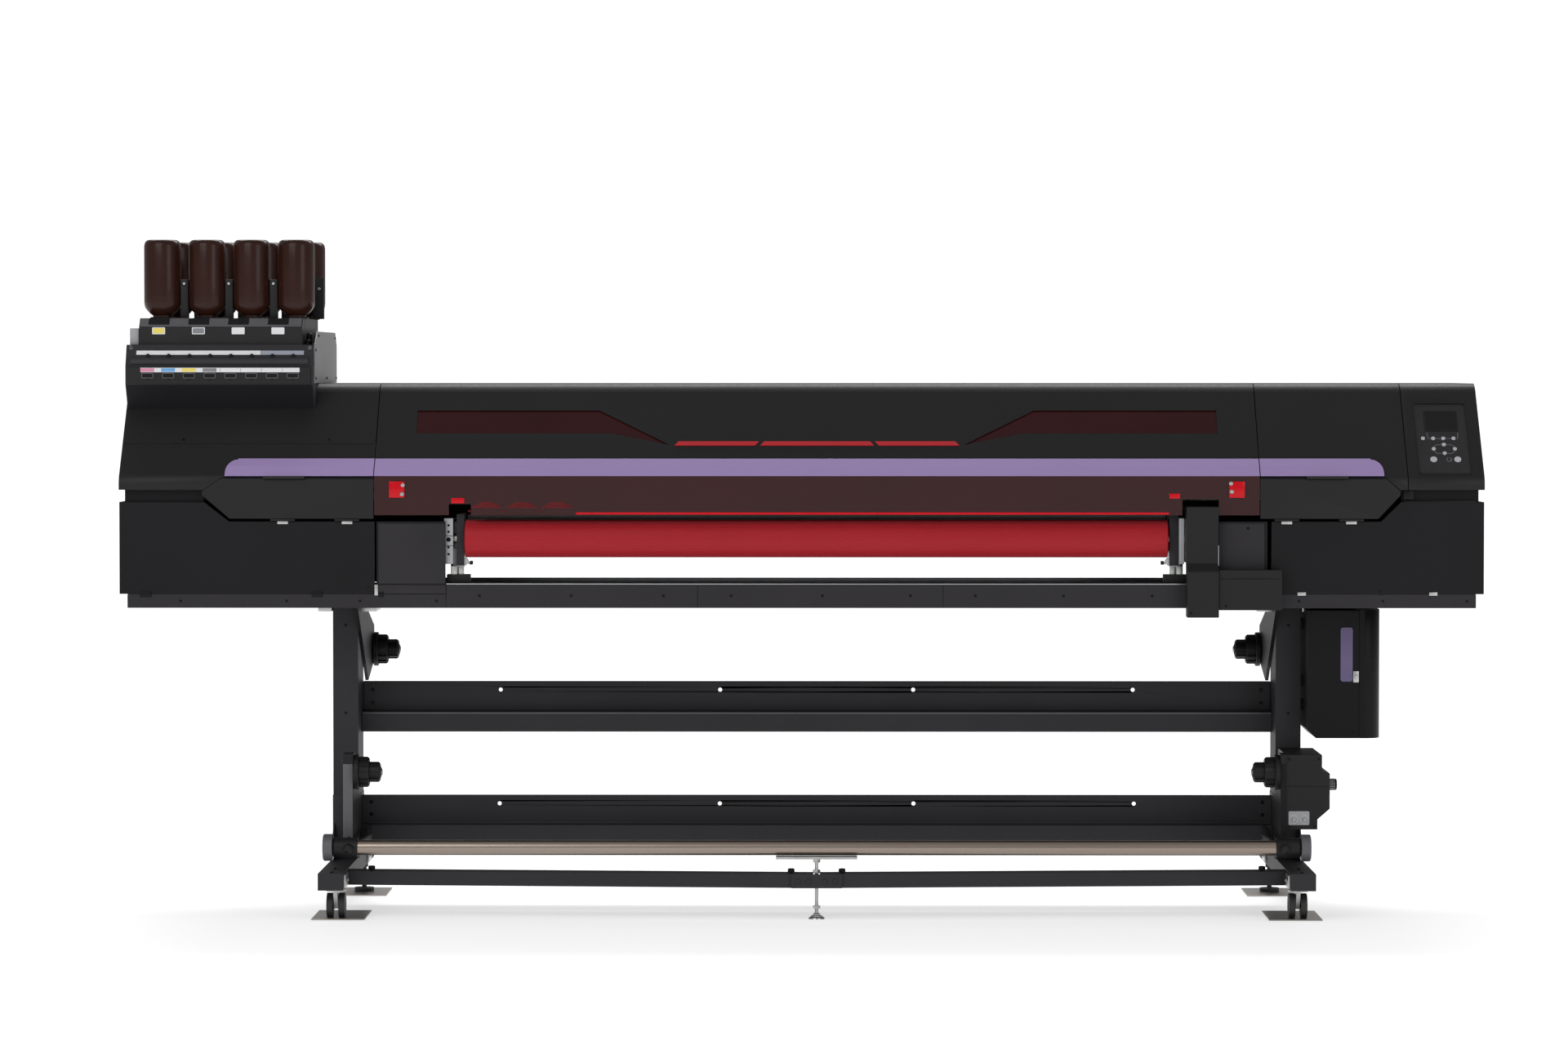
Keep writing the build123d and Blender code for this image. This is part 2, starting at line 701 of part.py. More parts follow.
with BuildPart() as roller_brackets:
    for side, plate_w, space in ((-1, 18, 9), (1, 22, 1)):
        plate_x = mirrored((path_half, path_half + plate_w), side)
        block(plate_x, bracket_y, bracket_z)
        bar_x(plate_x, roller_y, roller_z, journal_r + 2, Mode.SUBTRACT)
        width = block_w if side < 0 else 13
        block_x = mirrored((path_half + plate_w + space, path_half + plate_w + space + width), side)
        block(block_x, (roller_y - block_half, roller_y + block_half), block_z)
        bar_x(block_x, roller_y, roller_z, journal_r + run, Mode.SUBTRACT)
save(roller_brackets, "roller_brackets")

upper_y = (-330, -205)
lower_y = (-352, panel_y - sheet)
lower_z = (734, 866)
shoulder_h = 20          # bevel where the lower box steps forward
motor_x = (drive_x[1] + touch, 1136)
motor_box_z = (752, 850)
motor_shaft_r = 6

with BuildPart() as drive_cover:
    bevel_z = lower_z[1] - shoulder_h
    block(drive_x, upper_y, (lower_z[1], drive_top))
    section(drive_x, [(lower_y[0], lower_z[0]), (lower_y[1], lower_z[0]), (lower_y[1], lower_z[1]),
                      (upper_y[0], lower_z[1]), (lower_y[0], bevel_z)])
    inner_x = (drive_x[0] + sheet, drive_x[1] - sheet)
    inner_back = lower_y[1] - sheet
    block(inner_x, (upper_y[0] + sheet, upper_y[1] - sheet), (lower_z[1] + sheet, drive_top - sheet),
          Mode.SUBTRACT)
    block(inner_x, (upper_y[0] + sheet, inner_back), (bevel_z, lower_z[1] + sheet), Mode.SUBTRACT)
    block(inner_x, (lower_y[0] + sheet, inner_back), (lower_z[0] + sheet, bevel_z), Mode.SUBTRACT)
    bar_x((drive_x[0], inner_x[0]), roller_y, roller_z, journal_r + 2, Mode.SUBTRACT)
    bar_x((inner_x[1], drive_x[1]), motor_y, motor_z, motor_shaft_r + 2, Mode.SUBTRACT)
    hollow_block(motor_x, (lower_y[0] + 7, lower_y[1]), motor_box_z)
    bar_x((motor_x[0], motor_x[0] + sheet), motor_y, motor_z, motor_shaft_r + 2, Mode.SUBTRACT)
save(drive_cover, "drive_cover")

with BuildPart() as motor_pulley:
    bar_x(pulley_x, motor_y, motor_z, motor_pulley_r)
    bar_x((pulley_x[1], motor_x[0] + 20), motor_y, motor_z, motor_shaft_r)
save(motor_pulley, "motor_pulley")

# ---- Ink supply: cabinet, side panel, chip flap, bottle tray and bottles ----

ink_x = (left_end + 3, ink_right)
ink_top = body_top + ink_h
apron_z = body_top - 62
apron_gap = 0.5
side_rise = 33           # the side panel stands above the cabinet, beside the tray
ink_section = [(body_back, body_top + apron_gap), (slope_top_y - apron_gap, body_top + apron_gap),
               (on_slope(apron_z, apron_gap)[0], apron_z + apron_gap), (ink_front, body_top - 2),
               (ink_front, body_top + flap_h - 6), (ink_front + 25, ink_top), (body_back, ink_top)]

with BuildPart() as ink_cabinet:
    section(ink_x, ink_section)
    with BuildSketch(Plane.YZ.offset(stand_x + ink_x[0] + sheet)):
        Polygon(*ink_section, align=None)
        offset(amount=-sheet, kind=Kind.INTERSECTION, mode=Mode.REPLACE)
    extrude(amount=ink_x[1] - ink_x[0] - 2 * sheet, mode=Mode.SUBTRACT)
save(ink_cabinet, "ink_cabinet")

with BuildPart() as ink_side_panel:
    section((ink_right, ink_right + sheet),
            [(body_back, body_top + apron_gap), (body_back, ink_top), (body_back - 40, ink_top + side_rise),
             (slope_top_y - 10, ink_top + side_rise), (ink_front + 22, ink_top),
             (ink_front + 8, body_top + apron_gap)])
save(ink_side_panel, "ink_side_panel")

flap_t = 4
flap_y = (ink_front - touch - flap_t, ink_front - touch)
flap_top = body_top + flap_h - 8

with BuildPart() as chip_flap:
    flap_x = (ink_x[0] + 6, ink_x[1] - 6)
    block(flap_x, flap_y, (body_top - 2, flap_top))
    fillet(chip_flap.edges().filter_by(Axis.X).group_by(Axis.Y)[0].sort_by(Axis.Z)[0], radius=1.5)
    bar_x(flap_x, sum(flap_y) / 2, flap_top + flap_t / 2, flap_t / 2)
    block(flap_x, (flap_y[0] + 1, flap_y[1] - 1), (flap_top - 1, flap_top + 1))
save(chip_flap, "chip_flap")

bottle_xs = [bottle_x + bottle_pitch * i for i in range(4)]
bottle_low = ink_top + tray_h - neck_h
bottle_top = bottle_low + bottle_h
tray_x0 = (bottle_xs[0] - bottle_r - 5, bottle_xs[-1] + bottle_r - 25)

with BuildPart() as bottle_tray:
    tray_y = (row_y[0] - 65, row_y[1] + 65)
    section(tray_x0, [(tray_y[0], ink_top), (tray_y[1], ink_top), (tray_y[1], ink_top + tray_h),
                      (tray_y[0] + 22, ink_top + tray_h), (tray_y[0], ink_top + tray_h - 22)])
    for y in row_y:
        for x in bottle_xs:
            bar_z(x, y, (bottle_low - touch, ink_top + tray_h), neck_r + 1, Mode.SUBTRACT)
save(bottle_tray, "bottle_tray")

with BuildPart() as ink_bottles:
    for y in row_y:
        for x in bottle_xs:
            center = (stand_x + x, y, bottle_low)
            with BuildSketch(Plane(origin=center, x_dir=(1, 0, 0), z_dir=(0, -1, 0))):
                with BuildLine():
                    Line((0, 0), (neck_r, 0))
                    Line((neck_r, 0), (neck_r, neck_h + 6))
                    Line((neck_r, neck_h + 6), (bottle_r - 12, neck_h + 14))
                    RadiusArc((bottle_r - 12, neck_h + 14), (bottle_r, neck_h + 30), -18)
                    Line((bottle_r, neck_h + 30), (bottle_r, bottle_h - 10))
                    RadiusArc((bottle_r, bottle_h - 10), (bottle_r - 10, bottle_h), -10)
                    Line((bottle_r - 10, bottle_h), (0, bottle_h))
                    Line((0, bottle_h), (0, 0))
                make_face()
            revolve(axis=Axis(center, (0, 0, 1)))
save(ink_bottles, "ink_bottles")

# ---- Reel holders, take-up drive and tension bar ----

arm_t = 8
arm_face = leg_x[0] - arm_t
post_y = (-300, -240)
post_z = (171, 394)
bracket_low = low_beam_z[0]
lug_r = 16

with BuildPart() as reel_supports:
    for side in (-1, 1):
        plate_x = mirrored((arm_face, leg_x[0]), side)
        section(plate_x, [(-150, base_z - 3), (60, base_z - 3), (feed_y + 35, feed_z + 60),
                          (feed_y + 45, feed_z - 20), (feed_y - 10, feed_z - 40), (157, feed_z - 72)])
        bar_x(plate_x, feed_y, feed_z, spindle_r + run, Mode.SUBTRACT)
        upright_x = mirrored((reel_base + 1, reel_base + 15 if side > 0 else leg_x[0] + 17), side)
        section(upright_x, [(post_y[0], post_z[0]), (leg_y[0], post_z[0] + 20), (leg_y[0], post_z[0] + 90),
                            (post_y[1], take_z - 30), (post_y[1], post_z[1]), (post_y[0], post_z[1])])
        bar_x(upright_x, take_y, take_z, spindle_r + run, Mode.SUBTRACT)
        lug_x = mirrored((arm_x[1] + 2, arm_x[1] + 10), side)
        section(lug_x, [(pivot_y - lug_r, pivot_z - lug_r), (low_beam_y[0], bracket_low),
                        (low_beam_y[0], bracket_low + 45), (pivot_y - lug_r, pivot_z + lug_r)])
        bar_x(mirrored((arm_x[0] - 2, arm_x[1] + 2), side), pivot_y, pivot_z, pin_r)
save(reel_supports, "reel_supports")


def core_holder(side, y, z):
    """A stepped core holder on a spindle: a back disc, the large step, the small step and a tip."""
    steps = ((0, 12, core_r + 6), (12, 37, core_r), (37, 64, small_core_r), (64, 69, small_core_r - 7))
    for near, far, r in steps:
        bar_x(mirrored((reel_base - near, reel_base - far), side), y, z, r)
    bar_x(mirrored((reel_base, reel_base + 22), side), y, z, spindle_r)


for label, side, y, z in (("feed_flange_left", -1, feed_y, feed_z), ("feed_flange_right", 1, feed_y, feed_z),
                          ("takeup_flange_left", -1, take_y, take_z),
                          ("takeup_flange_right", 1, take_y, take_z)):
    with BuildPart() as flange:
        core_holder(side, y, z)
    save(flange, label)

housing_y = (post_y[0] + 5, leg_y[0] - touch)
housing_low = 211
switch_x = (1170, 1197)
switch_z = 236
switch_r = 5
torque_y = -180
torque_z = 313
step_x = drive_right + 19

with BuildPart() as takeup_housing:
    front_shape(housing_y, [(reel_base + 15 + touch, housing_low), (drive_right - 11, housing_low),
                            (drive_right - 11, housing_low + 25), (step_x, housing_low + 51),
                            (step_x, post_z[1] - 45), (drive_right, post_z[1] - 38),
                            (drive_right, post_z[1]), (reel_base + 15 + touch, post_z[1])])
    bar_x((reel_base + 15, reel_base + 30), take_y, take_z, spindle_r + 2, Mode.SUBTRACT)
    bar_x((step_x - 15, step_x), torque_y, torque_z, 5 + run, Mode.SUBTRACT)
    for x in switch_x:
        bar_y(x, (housing_y[0], housing_y[0] + 12), switch_z, switch_r + 1, Mode.SUBTRACT)
save(takeup_housing, "takeup_housing")

with BuildPart() as torque_knob:
    bar_x((step_x + 1, step_x + 28), torque_y, torque_z, knob_r)
    bar_x((step_x - 14, step_x + 1), torque_y, torque_z, 5)
    chamfer(torque_knob.faces().sort_by(Axis.X)[-1].edges(), length=2)
save(torque_knob, "torque_knob")

for label, x in (("winding_switch", switch_x[0]), ("direction_switch", switch_x[1])):
    with BuildPart() as toggle:
        bar_x((x - 4, x + 4), housing_y[0] + 6, switch_z, switch_r - 1)
        bar_y(x, (housing_y[0] - 12, housing_y[0] + 6), switch_z, 2.5)
    save(toggle, label)

sleeve_r = 24.5
sleeve_end = 1178
weight_r = 33
weight_w = 24
ball_r = 12.5
ball_x = 1140
arm_half = 15

with BuildPart() as tension_bar:
    bar_x((-sleeve_end - 2, sleeve_end + 2), bar_y0, bar_z0, bar_r)
    for side in (-1, 1):
        bar_x(mirrored((arm_x[1] + 4, sleeve_end), side), bar_y0, bar_z0, sleeve_r)
        bar_x(mirrored((sleeve_end + 2, sleeve_end + 2 + weight_w), side), bar_y0, bar_z0, weight_r)
        section(mirrored(arm_x, side),
                [(bar_y0, bar_z0 - arm_half), (pivot_y, pivot_z - arm_half), (pivot_y + arm_half, pivot_z),
                 (pivot_y, pivot_z + arm_half), (bar_y0, bar_z0 + arm_half)])
        bar_x(mirrored(arm_x, side), pivot_y, pivot_z, pin_r + run, Mode.SUBTRACT)
        with Locations((stand_x + side * ball_x, bar_y0 - sleeve_r - 6, bar_z0)):
            Sphere(ball_r)
save(tension_bar, "tension_bar")

# ---- Waste ink housing with its hinged, rounded door ----

hanger_t = 11
waste_top = base_z - hanger_t
waste_z = (waste_top - waste_h, waste_top)
waste_cut = 24           # bevel along the lower inner edge
door_r = 40
door_pin_r = 3
door_pin_y = waste_y[1] + door_pin_r + touch
door_pin_h = 60


def waste_outline(wall):
    """Front view of the housing, its walls moved inwards."""
    low, high = waste_z[0] + wall, waste_z[1] - wall
    cut = waste_cut + wall * (2 ** 0.5 - 1)
    return [(waste_x[0] + wall, high), (waste_x[1] - wall, high), (waste_x[1] - wall, low),
            (waste_x[0] + cut, low), (waste_x[0] + wall, waste_z[0] + cut)]


with BuildPart() as waste_tank:
    front_shape(waste_y, waste_outline(0))
    front_shape((waste_y[0] + sheet, waste_y[1] - sheet), waste_outline(sheet), Mode.SUBTRACT)
    block((waste_x[0] + 10, waste_x[1] - 10), (waste_y[0] + 40, waste_y[1] - 40), (waste_top, base_z))
save(waste_tank, "waste_tank")

with BuildPart() as waste_door:
    door_x = (waste_x[1] + touch, waste_x[1] + door_t)
    block(door_x, waste_y, waste_z)
    outer_edges = waste_door.edges().filter_by(Axis.Z).group_by(Axis.X)[-1]
    fillet(outer_edges, radius=door_r)
    block((door_x[0], door_x[1] - 2 * sheet), (waste_y[0] + 20, waste_y[1] - 20),
          (waste_z[0] + sheet, waste_z[1] - sheet), Mode.SUBTRACT)
    pin_x = door_x[0] + door_pin_r
    for low in (waste_z[0] + 30, waste_z[1] - 30 - door_pin_h):
        bar_z(pin_x, door_pin_y, (low, low + door_pin_h), door_pin_r)
        block((pin_x - 1, pin_x + 1), (waste_y[1] - 1, door_pin_y - 1), (low, low + door_pin_h))
save(waste_door, "waste_door")
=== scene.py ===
import math
import bmesh
import bpy
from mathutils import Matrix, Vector


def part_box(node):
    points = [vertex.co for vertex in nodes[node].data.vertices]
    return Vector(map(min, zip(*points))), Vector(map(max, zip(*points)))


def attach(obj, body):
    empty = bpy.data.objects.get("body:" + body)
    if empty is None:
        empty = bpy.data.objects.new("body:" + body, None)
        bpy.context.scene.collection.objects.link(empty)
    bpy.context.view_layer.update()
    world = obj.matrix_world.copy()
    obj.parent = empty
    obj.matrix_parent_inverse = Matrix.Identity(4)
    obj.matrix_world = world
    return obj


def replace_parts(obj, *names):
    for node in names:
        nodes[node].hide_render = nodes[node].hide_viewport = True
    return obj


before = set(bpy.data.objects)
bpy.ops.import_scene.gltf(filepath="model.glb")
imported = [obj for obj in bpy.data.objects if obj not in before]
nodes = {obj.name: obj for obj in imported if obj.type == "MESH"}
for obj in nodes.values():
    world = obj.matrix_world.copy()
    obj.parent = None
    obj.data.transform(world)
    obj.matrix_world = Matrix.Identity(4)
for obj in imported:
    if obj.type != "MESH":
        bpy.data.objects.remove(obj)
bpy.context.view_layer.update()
mm = 0.001

# ---- Stand ----
# Two legs and two feet of folded steel box, joined by two channel beams and a crossbar near the
# floor. All are powder coated in black, which gives a matt skin with a fine orange peel, and
# they are held with black socket screws.

beams_low, beams_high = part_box("cross_beams")
middle = (beams_low.x + beams_high.x) / 2


def spot(x, y, z):
    """A point in metres from millimetres across the stand, to the back and up from the floor."""
    return Vector((middle + x * mm, y * mm, z * mm))


def linear(code):
    """An sRGB hex colour as the linear values that a shader takes."""
    parts = [int(code[i:i + 2], 16) / 255 for i in (1, 3, 5)]
    return [c / 12.92 if c <= 0.04045 else ((c + 0.055) / 1.055) ** 2.4 for c in parts] + [1]


def add(tree, kind, settings, links=None):
    """Add a node, set its values and link its inputs."""
    made = tree.nodes.new(kind)
    for key, value in settings.items():
        if isinstance(key, int) or key in made.inputs:
            made.inputs[key].default_value = value
        else:
            setattr(made, key, value)
    for key, source in (links or {}).items():
        tree.links.new(source, made.inputs[key])
    return made


def surface(name, dark, light, grain, relief, shader, patch=0.18, rough=(0.4, 0.5),
            stretch=(1, 1, 1)):
    """A finish whose colour drifts over a patch, with a grain of its own size in metres."""
    made = bpy.data.materials.new(name)
    made.use_nodes = True
    tree = made.node_tree
    tree.nodes.clear()
    where = add(tree, "ShaderNodeTexCoord", {})
    drawn = add(tree, "ShaderNodeMapping", {"Scale": stretch}, {"Vector": where.outputs["Object"]})
    drift = add(tree, "ShaderNodeTexNoise", {"Scale": 1 / patch, "Detail": 3},
                {"Vector": drawn.outputs["Vector"]})
    fine = add(tree, "ShaderNodeTexNoise", {"Scale": 1 / grain, "Detail": 2},
               {"Vector": drawn.outputs["Vector"]})
    colour = add(tree, "ShaderNodeMix", {"data_type": "RGBA", 6: linear(dark), 7: linear(light)},
                 {0: drift.outputs["Fac"]})
    dullness = add(tree, "ShaderNodeMapRange", {"To Min": rough[0], "To Max": rough[1]},
                   {"Value": fine.outputs["Fac"]})
    bump = add(tree, "ShaderNodeBump", {"Strength": 0.6, "Distance": relief},
               {"Height": fine.outputs["Fac"]})
    skin = add(tree, "ShaderNodeBsdfPrincipled", shader,
               {"Base Color": colour.outputs[2], "Roughness": dullness.outputs["Result"],
                "Normal": bump.outputs["Normal"]})
    add(tree, "ShaderNodeOutputMaterial", {}, {"Surface": skin.outputs["BSDF"]})
    return made


# Polyester powder coat: matt, with an orange peel about 1 mm across.
frame_coat = surface("black_powder_coat", "#28272a", "#313033", 0.0011, 0.00012,
                     {"Specular IOR Level": 0.22}, rough=(0.5, 0.62))
# Black oxide on the screws: darker and shinier than the coat round them.
black_oxide = surface("black_oxide_steel", "#0c0c0d", "#161617", 0.0008, 0.00003,
                      {"Metallic": 0.7}, rough=(0.3, 0.42))


def finish(names, material, edge=1.0):
    """Give CAD nodes their finish, and ease their edges as folding or moulding does."""
    for name in names:
        node = nodes[name]
        if not node.material_slots:
            node.data.materials.append(material)
        for place in node.material_slots:
            place.material = material
        if edge:
            weld = node.modifiers.new("weld", "WELD")
            weld.merge_threshold = 0.00002
            ease = node.modifiers.new("eased_edges", "BEVEL")
            ease.width = edge * mm
            ease.segments = 2
            ease.limit_method = "ANGLE"
            ease.angle_limit = math.radians(40)


def bar(form, low, high, edge=0.5):
    """Add a box with eased edges between two corners."""
    a, b = spot(*low), spot(*high)
    made = bmesh.ops.create_cube(form, size=1)["verts"]
    for v in made:
        v.co = Vector([(a[i] + b[i]) / 2 + v.co[i] * (b[i] - a[i]) for i in range(3)])
    if edge:
        edges = list({e for v in made for e in v.link_edges})
        bmesh.ops.bevel(form, geom=edges, offset=edge * mm, segments=2, profile=0.6, affect="EDGES")


def turn(form, at, along, profile, around=24):
    """Turn a profile of (distance, radius) pairs in millimetres about an axis from a point."""
    axis = Vector(along).normalized()
    side = axis.orthogonal().normalized()
    up = axis.cross(side)
    rings = []
    for distance, radius in profile:
        centre = at + axis * distance * mm
        if radius == 0:
            rings.append([form.verts.new(centre)] * around)
            continue
        angles = [math.tau * i / around for i in range(around)]
        rings.append([form.verts.new(centre + (side * math.cos(t) + up * math.sin(t)) * radius * mm)
                      for t in angles])
    for a, b in zip(rings, rings[1:]):
        for i in range(around):
            corners = (a[i], a[(i + 1) % around], b[(i + 1) % around], b[i])
            corners = list(dict.fromkeys(corners))
            if len(corners) > 2:
                form.faces.new(corners)


def screw(form, at, out, r=4.0, around=18):
    """Add a button-head screw with a socket."""
    turn(form, at, out, [(-0.5, 0), (-0.5, r), (0.35 * r, r), (0.6 * r, 0.72 * r),
                         (0.62 * r, 0.45 * r), (0.2 * r, 0.42 * r), (0.2 * r, 0)], around)


def shown(name, form, material):
    """Make a mesh into a named object with its outsides out."""
    bmesh.ops.recalc_face_normals(form, faces=form.faces)
    mesh = bpy.data.meshes.new(name)
    form.to_mesh(mesh)
    form.free()
    mesh.materials.append(material)
    made = bpy.data.objects.new(name, mesh)
    bpy.context.scene.collection.objects.link(made)
    return made


def piece(name, form, material, body="machine", sharp=35):
    """Make a mesh into a named piece in a material slot, riding on a body."""
    made = shown(name, form, material)
    made.data.shade_smooth()
    made.data.set_sharp_from_angle(angle=math.radians(sharp))
    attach(made, body)
    return made


front = Vector((0, -1, 0))
back = Vector((0, 1, 0))
above = Vector((0, 0, 1))
leftward = Vector((-1, 0, 0))
rightward = Vector((1, 0, 0))

finish(["stand_legs", "stand_feet", "crossbar"], frame_coat, 1.4)
finish(["cross_beams"], frame_coat, 2.5)

# Each leg's lower part is sleeved, so a seam shows above the foot.
leg_x = (1147, 1210)
leg_y = (-50, 100)
foot_top = 116
sleeve_top = 275
sleeve_wall = 1.2
sleeves = bmesh.new()
for side in (-1, 1):
    x = sorted(side * v for v in leg_x)
    bar(sleeves, (x[0] - sleeve_wall, leg_y[0] - sleeve_wall, foot_top + 0.5),
        (x[1] + sleeve_wall, leg_y[1] + sleeve_wall, sleeve_top), 0.8)
piece("leg_sleeves", sleeves, frame_coat)

stand_screws = bmesh.new()
for side in (-1, 1):
    for z, y in ((219, 42), (250, 42), (497, 95), (530, 95)):
        screw(stand_screws, spot(side * 1122, y, z), front, 4.5)
    for z in (140, 165, 250, 300, 480, 700):
        face = leg_y[0] - (sleeve_wall if z < sleeve_top else 0)
        screw(stand_screws, spot(side * 1178, face, z), front, 3.5)
    for y in (-420, -330, 180, 330, 420):
        screw(stand_screws, spot(side * 1180, y, foot_top), above, 4.5)
piece("stand_screws", stand_screws, black_oxide)

# A pale strip on the folded edge of the middle beam's shelf is a painted highlight, where the
# rounded fold catches the light.
# A paler powder coat: a painted highlight on the shelf's edge, and the paler tone of the take-up
# upright's front face.
pale_coat_and_highlight = surface("pale_powder_coat_and_highlight", "#4b4a4d", "#59585b", 0.0011, 0.00005, {},
                      rough=(0.4, 0.5))
shelf_edge_highlight = bmesh.new()
bar(shelf_edge_highlight, (-1144, 39.6, 472.6), (1144, 41, 475.6), 0.3)
piece("shelf_edge_highlight", shelf_edge_highlight, pale_coat_and_highlight)

# Knurled clamp knobs on top of the crossbar hold its halves to the post.
crossbar_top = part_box("crossbar")[1].z / mm
knobs = bmesh.new()
for x, y in ((-62, -372), (62, -372), (-1092, -306), (1092, -306)):
    turn(knobs, spot(x, y, crossbar_top - 0.5), above,
         [(0, 0), (0, 4), (3, 4), (3, 8.5), (10, 8.5), (11.5, 7), (11.5, 0)], 16)
piece("crossbar_knobs", knobs, black_oxide)

# ---- Casters, levelling feet, floor plates and centre post ----
# Front casters have twin black polyurethane wheels, a zinc plated fork and a nylon brake pedal.
# The rear stands on screwed pads, and loose plates of bright sheet spread the load.

# Polyurethane: nearly black, dulled by the floor.
polyurethane = surface("black_polyurethane", "#141414", "#222223", 0.002, 0.0001, {}, 0.02,
                       (0.5, 0.68))
# Zinc plate: cool grey metal with cloudy patches.
zinc = surface("zinc_plate", "#a3a6a6", "#c3c4bf", 0.0015, 0.00003, {"Metallic": 1.0}, 0.02,
               (0.28, 0.42))
# Glass-filled nylon: dull black with a fine moulded grain.
nylon = surface("black_nylon", "#101011", "#1b1b1c", 0.0012, 0.00008,
                {"Specular IOR Level": 0.25}, 0.03, (0.42, 0.56))
# Bright cold rolled steel: drawn lines along the sheet or the bar.
bright_steel = surface("bright_steel", "#8f8b86", "#b5afa8", 0.0012, 0.00002, {"Metallic": 1.0},
                       0.05, (0.25, 0.4), (0.05, 1, 1))

finish(["left_caster_wheels", "right_caster_wheels"], polyurethane, 2.5)
finish(["left_caster_fork", "right_caster_fork", "center_post"], zinc, 0.8)
finish(["left_caster_brake", "right_caster_brake"], nylon, 0.8)
finish(["floor_plates"], bright_steel, 0.5)
finish(["levelling_feet"], polyurethane, 1.0)

for side in ("left", "right"):
    low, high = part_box(f"{side}_caster_wheels")
    reach = (high.x - low.x) / 2 / mm
    hubs = bmesh.new()
    for out in (leftward, rightward):
        turn(hubs, (low + high) / 2, out, [(reach - 2.5, 0), (reach - 2.5, 15), (reach - 0.4, 13),
                                           (reach - 0.4, 6), (reach, 5), (reach, 0)])
    piece(f"{side}_caster_hubs", hubs, zinc, f"{side}_caster_wheels")

# Stamped brackets tie each caster and levelling foot to its steel foot.
bracket_x = 1144.5
levelling_y = 262
brackets = bmesh.new()
for side in (-1, 1):
    for y in (-400, levelling_y):
        x = sorted((side * bracket_x, side * 1150))
        bar(brackets, (x[0], y - 34, 79), (x[1], y + 34, 111), 0.6)
        for step in (-20, 20):
            screw(brackets, spot(side * bracket_x, y + step, 95), Vector((-side, 0, 0)), 4)
piece("foot_brackets", brackets, zinc)

# Hexagon nuts lock the post and the levelling screws.
nuts = bmesh.new()
post_low, post_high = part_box("center_post")
post_y = (post_low.y + post_high.y) / 2 / mm
for z in (crossbar_top + 1, post_high.z / mm - 15):
    turn(nuts, spot(0, post_y, z), above, [(0, 0), (0, 9.5), (8, 9.5), (8, 0)], 6)
turn(nuts, spot(0, post_y, 0.3), above,
     [(0, 0), (0, 20), (3, 19), (9, 9), (12, 9), (14, 6), (14, 0)])
turn(nuts, spot(0, post_y, 26), above, [(0, 0), (0, 9.5), (6, 9.5), (6, 0)], 6)
for side in (-1, 1):
    turn(nuts, spot(side * 1160, levelling_y, 40), above, [(0, 0), (0, 11), (8, 11), (8, 0)], 6)
piece("lock_nuts", nuts, zinc, sharp=20)

# ---- Base frame, platen, beam and print carriage ----
# A shallow tray of folded sheet carries two uprights, the flat aluminium platen and the linear
# guide. The carriage holds the heads between two curing lamps, and parks on the right.

# Powder coat on the panels: a warmer, slightly violet dark grey.
panel_coat = surface("graphite_powder_coat", "#252326", "#2c2a2e", 0.0012, 0.00012,
                     {"Specular IOR Level": 0.2}, rough=(0.48, 0.6))
# Satin anodised aluminium: pale, with drawn lines along its length.
anodised = surface("anodised_aluminium", "#9c9da0", "#b4b5b8", 0.0012, 0.00002,
                   {"Metallic": 1.0}, 0.08, (0.3, 0.44), (0.04, 1, 1))
# Textured ABS: charcoal, with a sparkle-free moulded grain.
abs_cover = surface("charcoal_abs", "#19191a", "#202022", 0.0013, 0.00011,
                    {"Specular IOR Level": 0.2}, 0.4, (0.4, 0.5))

finish(["base_frame"], panel_coat, 1.2)
finish(["platen", "guide_beam"], anodised, 1.0)
finish(["print_carriage"], abs_cover, 3.0)

rim_top = 811
seam_x = -909
panel_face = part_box("base_frame")[0].y / mm
rail = bmesh.new()
bar(rail, (seam_x + 1, panel_face, rim_top + 1.5), (1104, panel_face + 5, rim_top + 4), 0.6)
bar(rail, (-1060, 389, 789), (1060, 394, 802), 0.8)
piece("rim_rails", rail, anodised)

# The rim stands full height as far as the seam of the left station's panels.
lap = bmesh.new()
bar(lap, (-1077, panel_face - 0.3, 790), (seam_x, panel_face + 2, rim_top), 0.3)
piece("rim_lap", lap, panel_coat)

joints = bmesh.new()
for x in (seam_x, -292, 310):
    bar(joints, (x - 0.8, panel_face - 0.4, 757), (x + 0.8, panel_face + 1, rim_top - 1), 0.1)
for x in (-827, -602, -376, -210, 14, 230, 389, 605, 822):
    screw(joints, spot(x, panel_face, 785), front, 3.4)
for x in (-1560, -1300, -1120, -932, 1182, 1387, 1593):
    screw(joints, spot(x, panel_face, 772), front, 3.2)
piece("rim_seams_and_screws", joints, black_oxide)

# Brackets under the body, beside each leg.
wings = bmesh.new()
for x0, x1 in ((-1246, -1212), (-1146, -1100), (1100, 1146), (1212, 1232)):
    bar(wings, (x0, -60, 735), (x1, 60, 754), 1)
piece("leg_wings", wings, zinc)

carriage_low, carriage_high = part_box("print_carriage")
heads = bmesh.new()
box_x = ((carriage_low.x - middle) / mm, (carriage_high.x - middle) / mm)
box_face = carriage_low.y / mm
for x in (box_x[0] + 12, box_x[1] - 48):
    for z in range(1010, 1070, 9):
        bar(heads, (x, box_face + 14, z), (x + 36, box_face + 19.5, z + 4), 0.4)
bar(heads, (box_x[0] + 78, box_face - 1.5, 1010), (box_x[1] - 78, box_face - 0.2, 1110), 0.6)
for x in (box_x[0] + 84, box_x[1] - 84):
    for z in (1016, 1104):
        screw(heads, spot(x, box_face - 1.5, z), front, 3)
piece("carriage_front_plate", heads, panel_coat, "print_carriage")

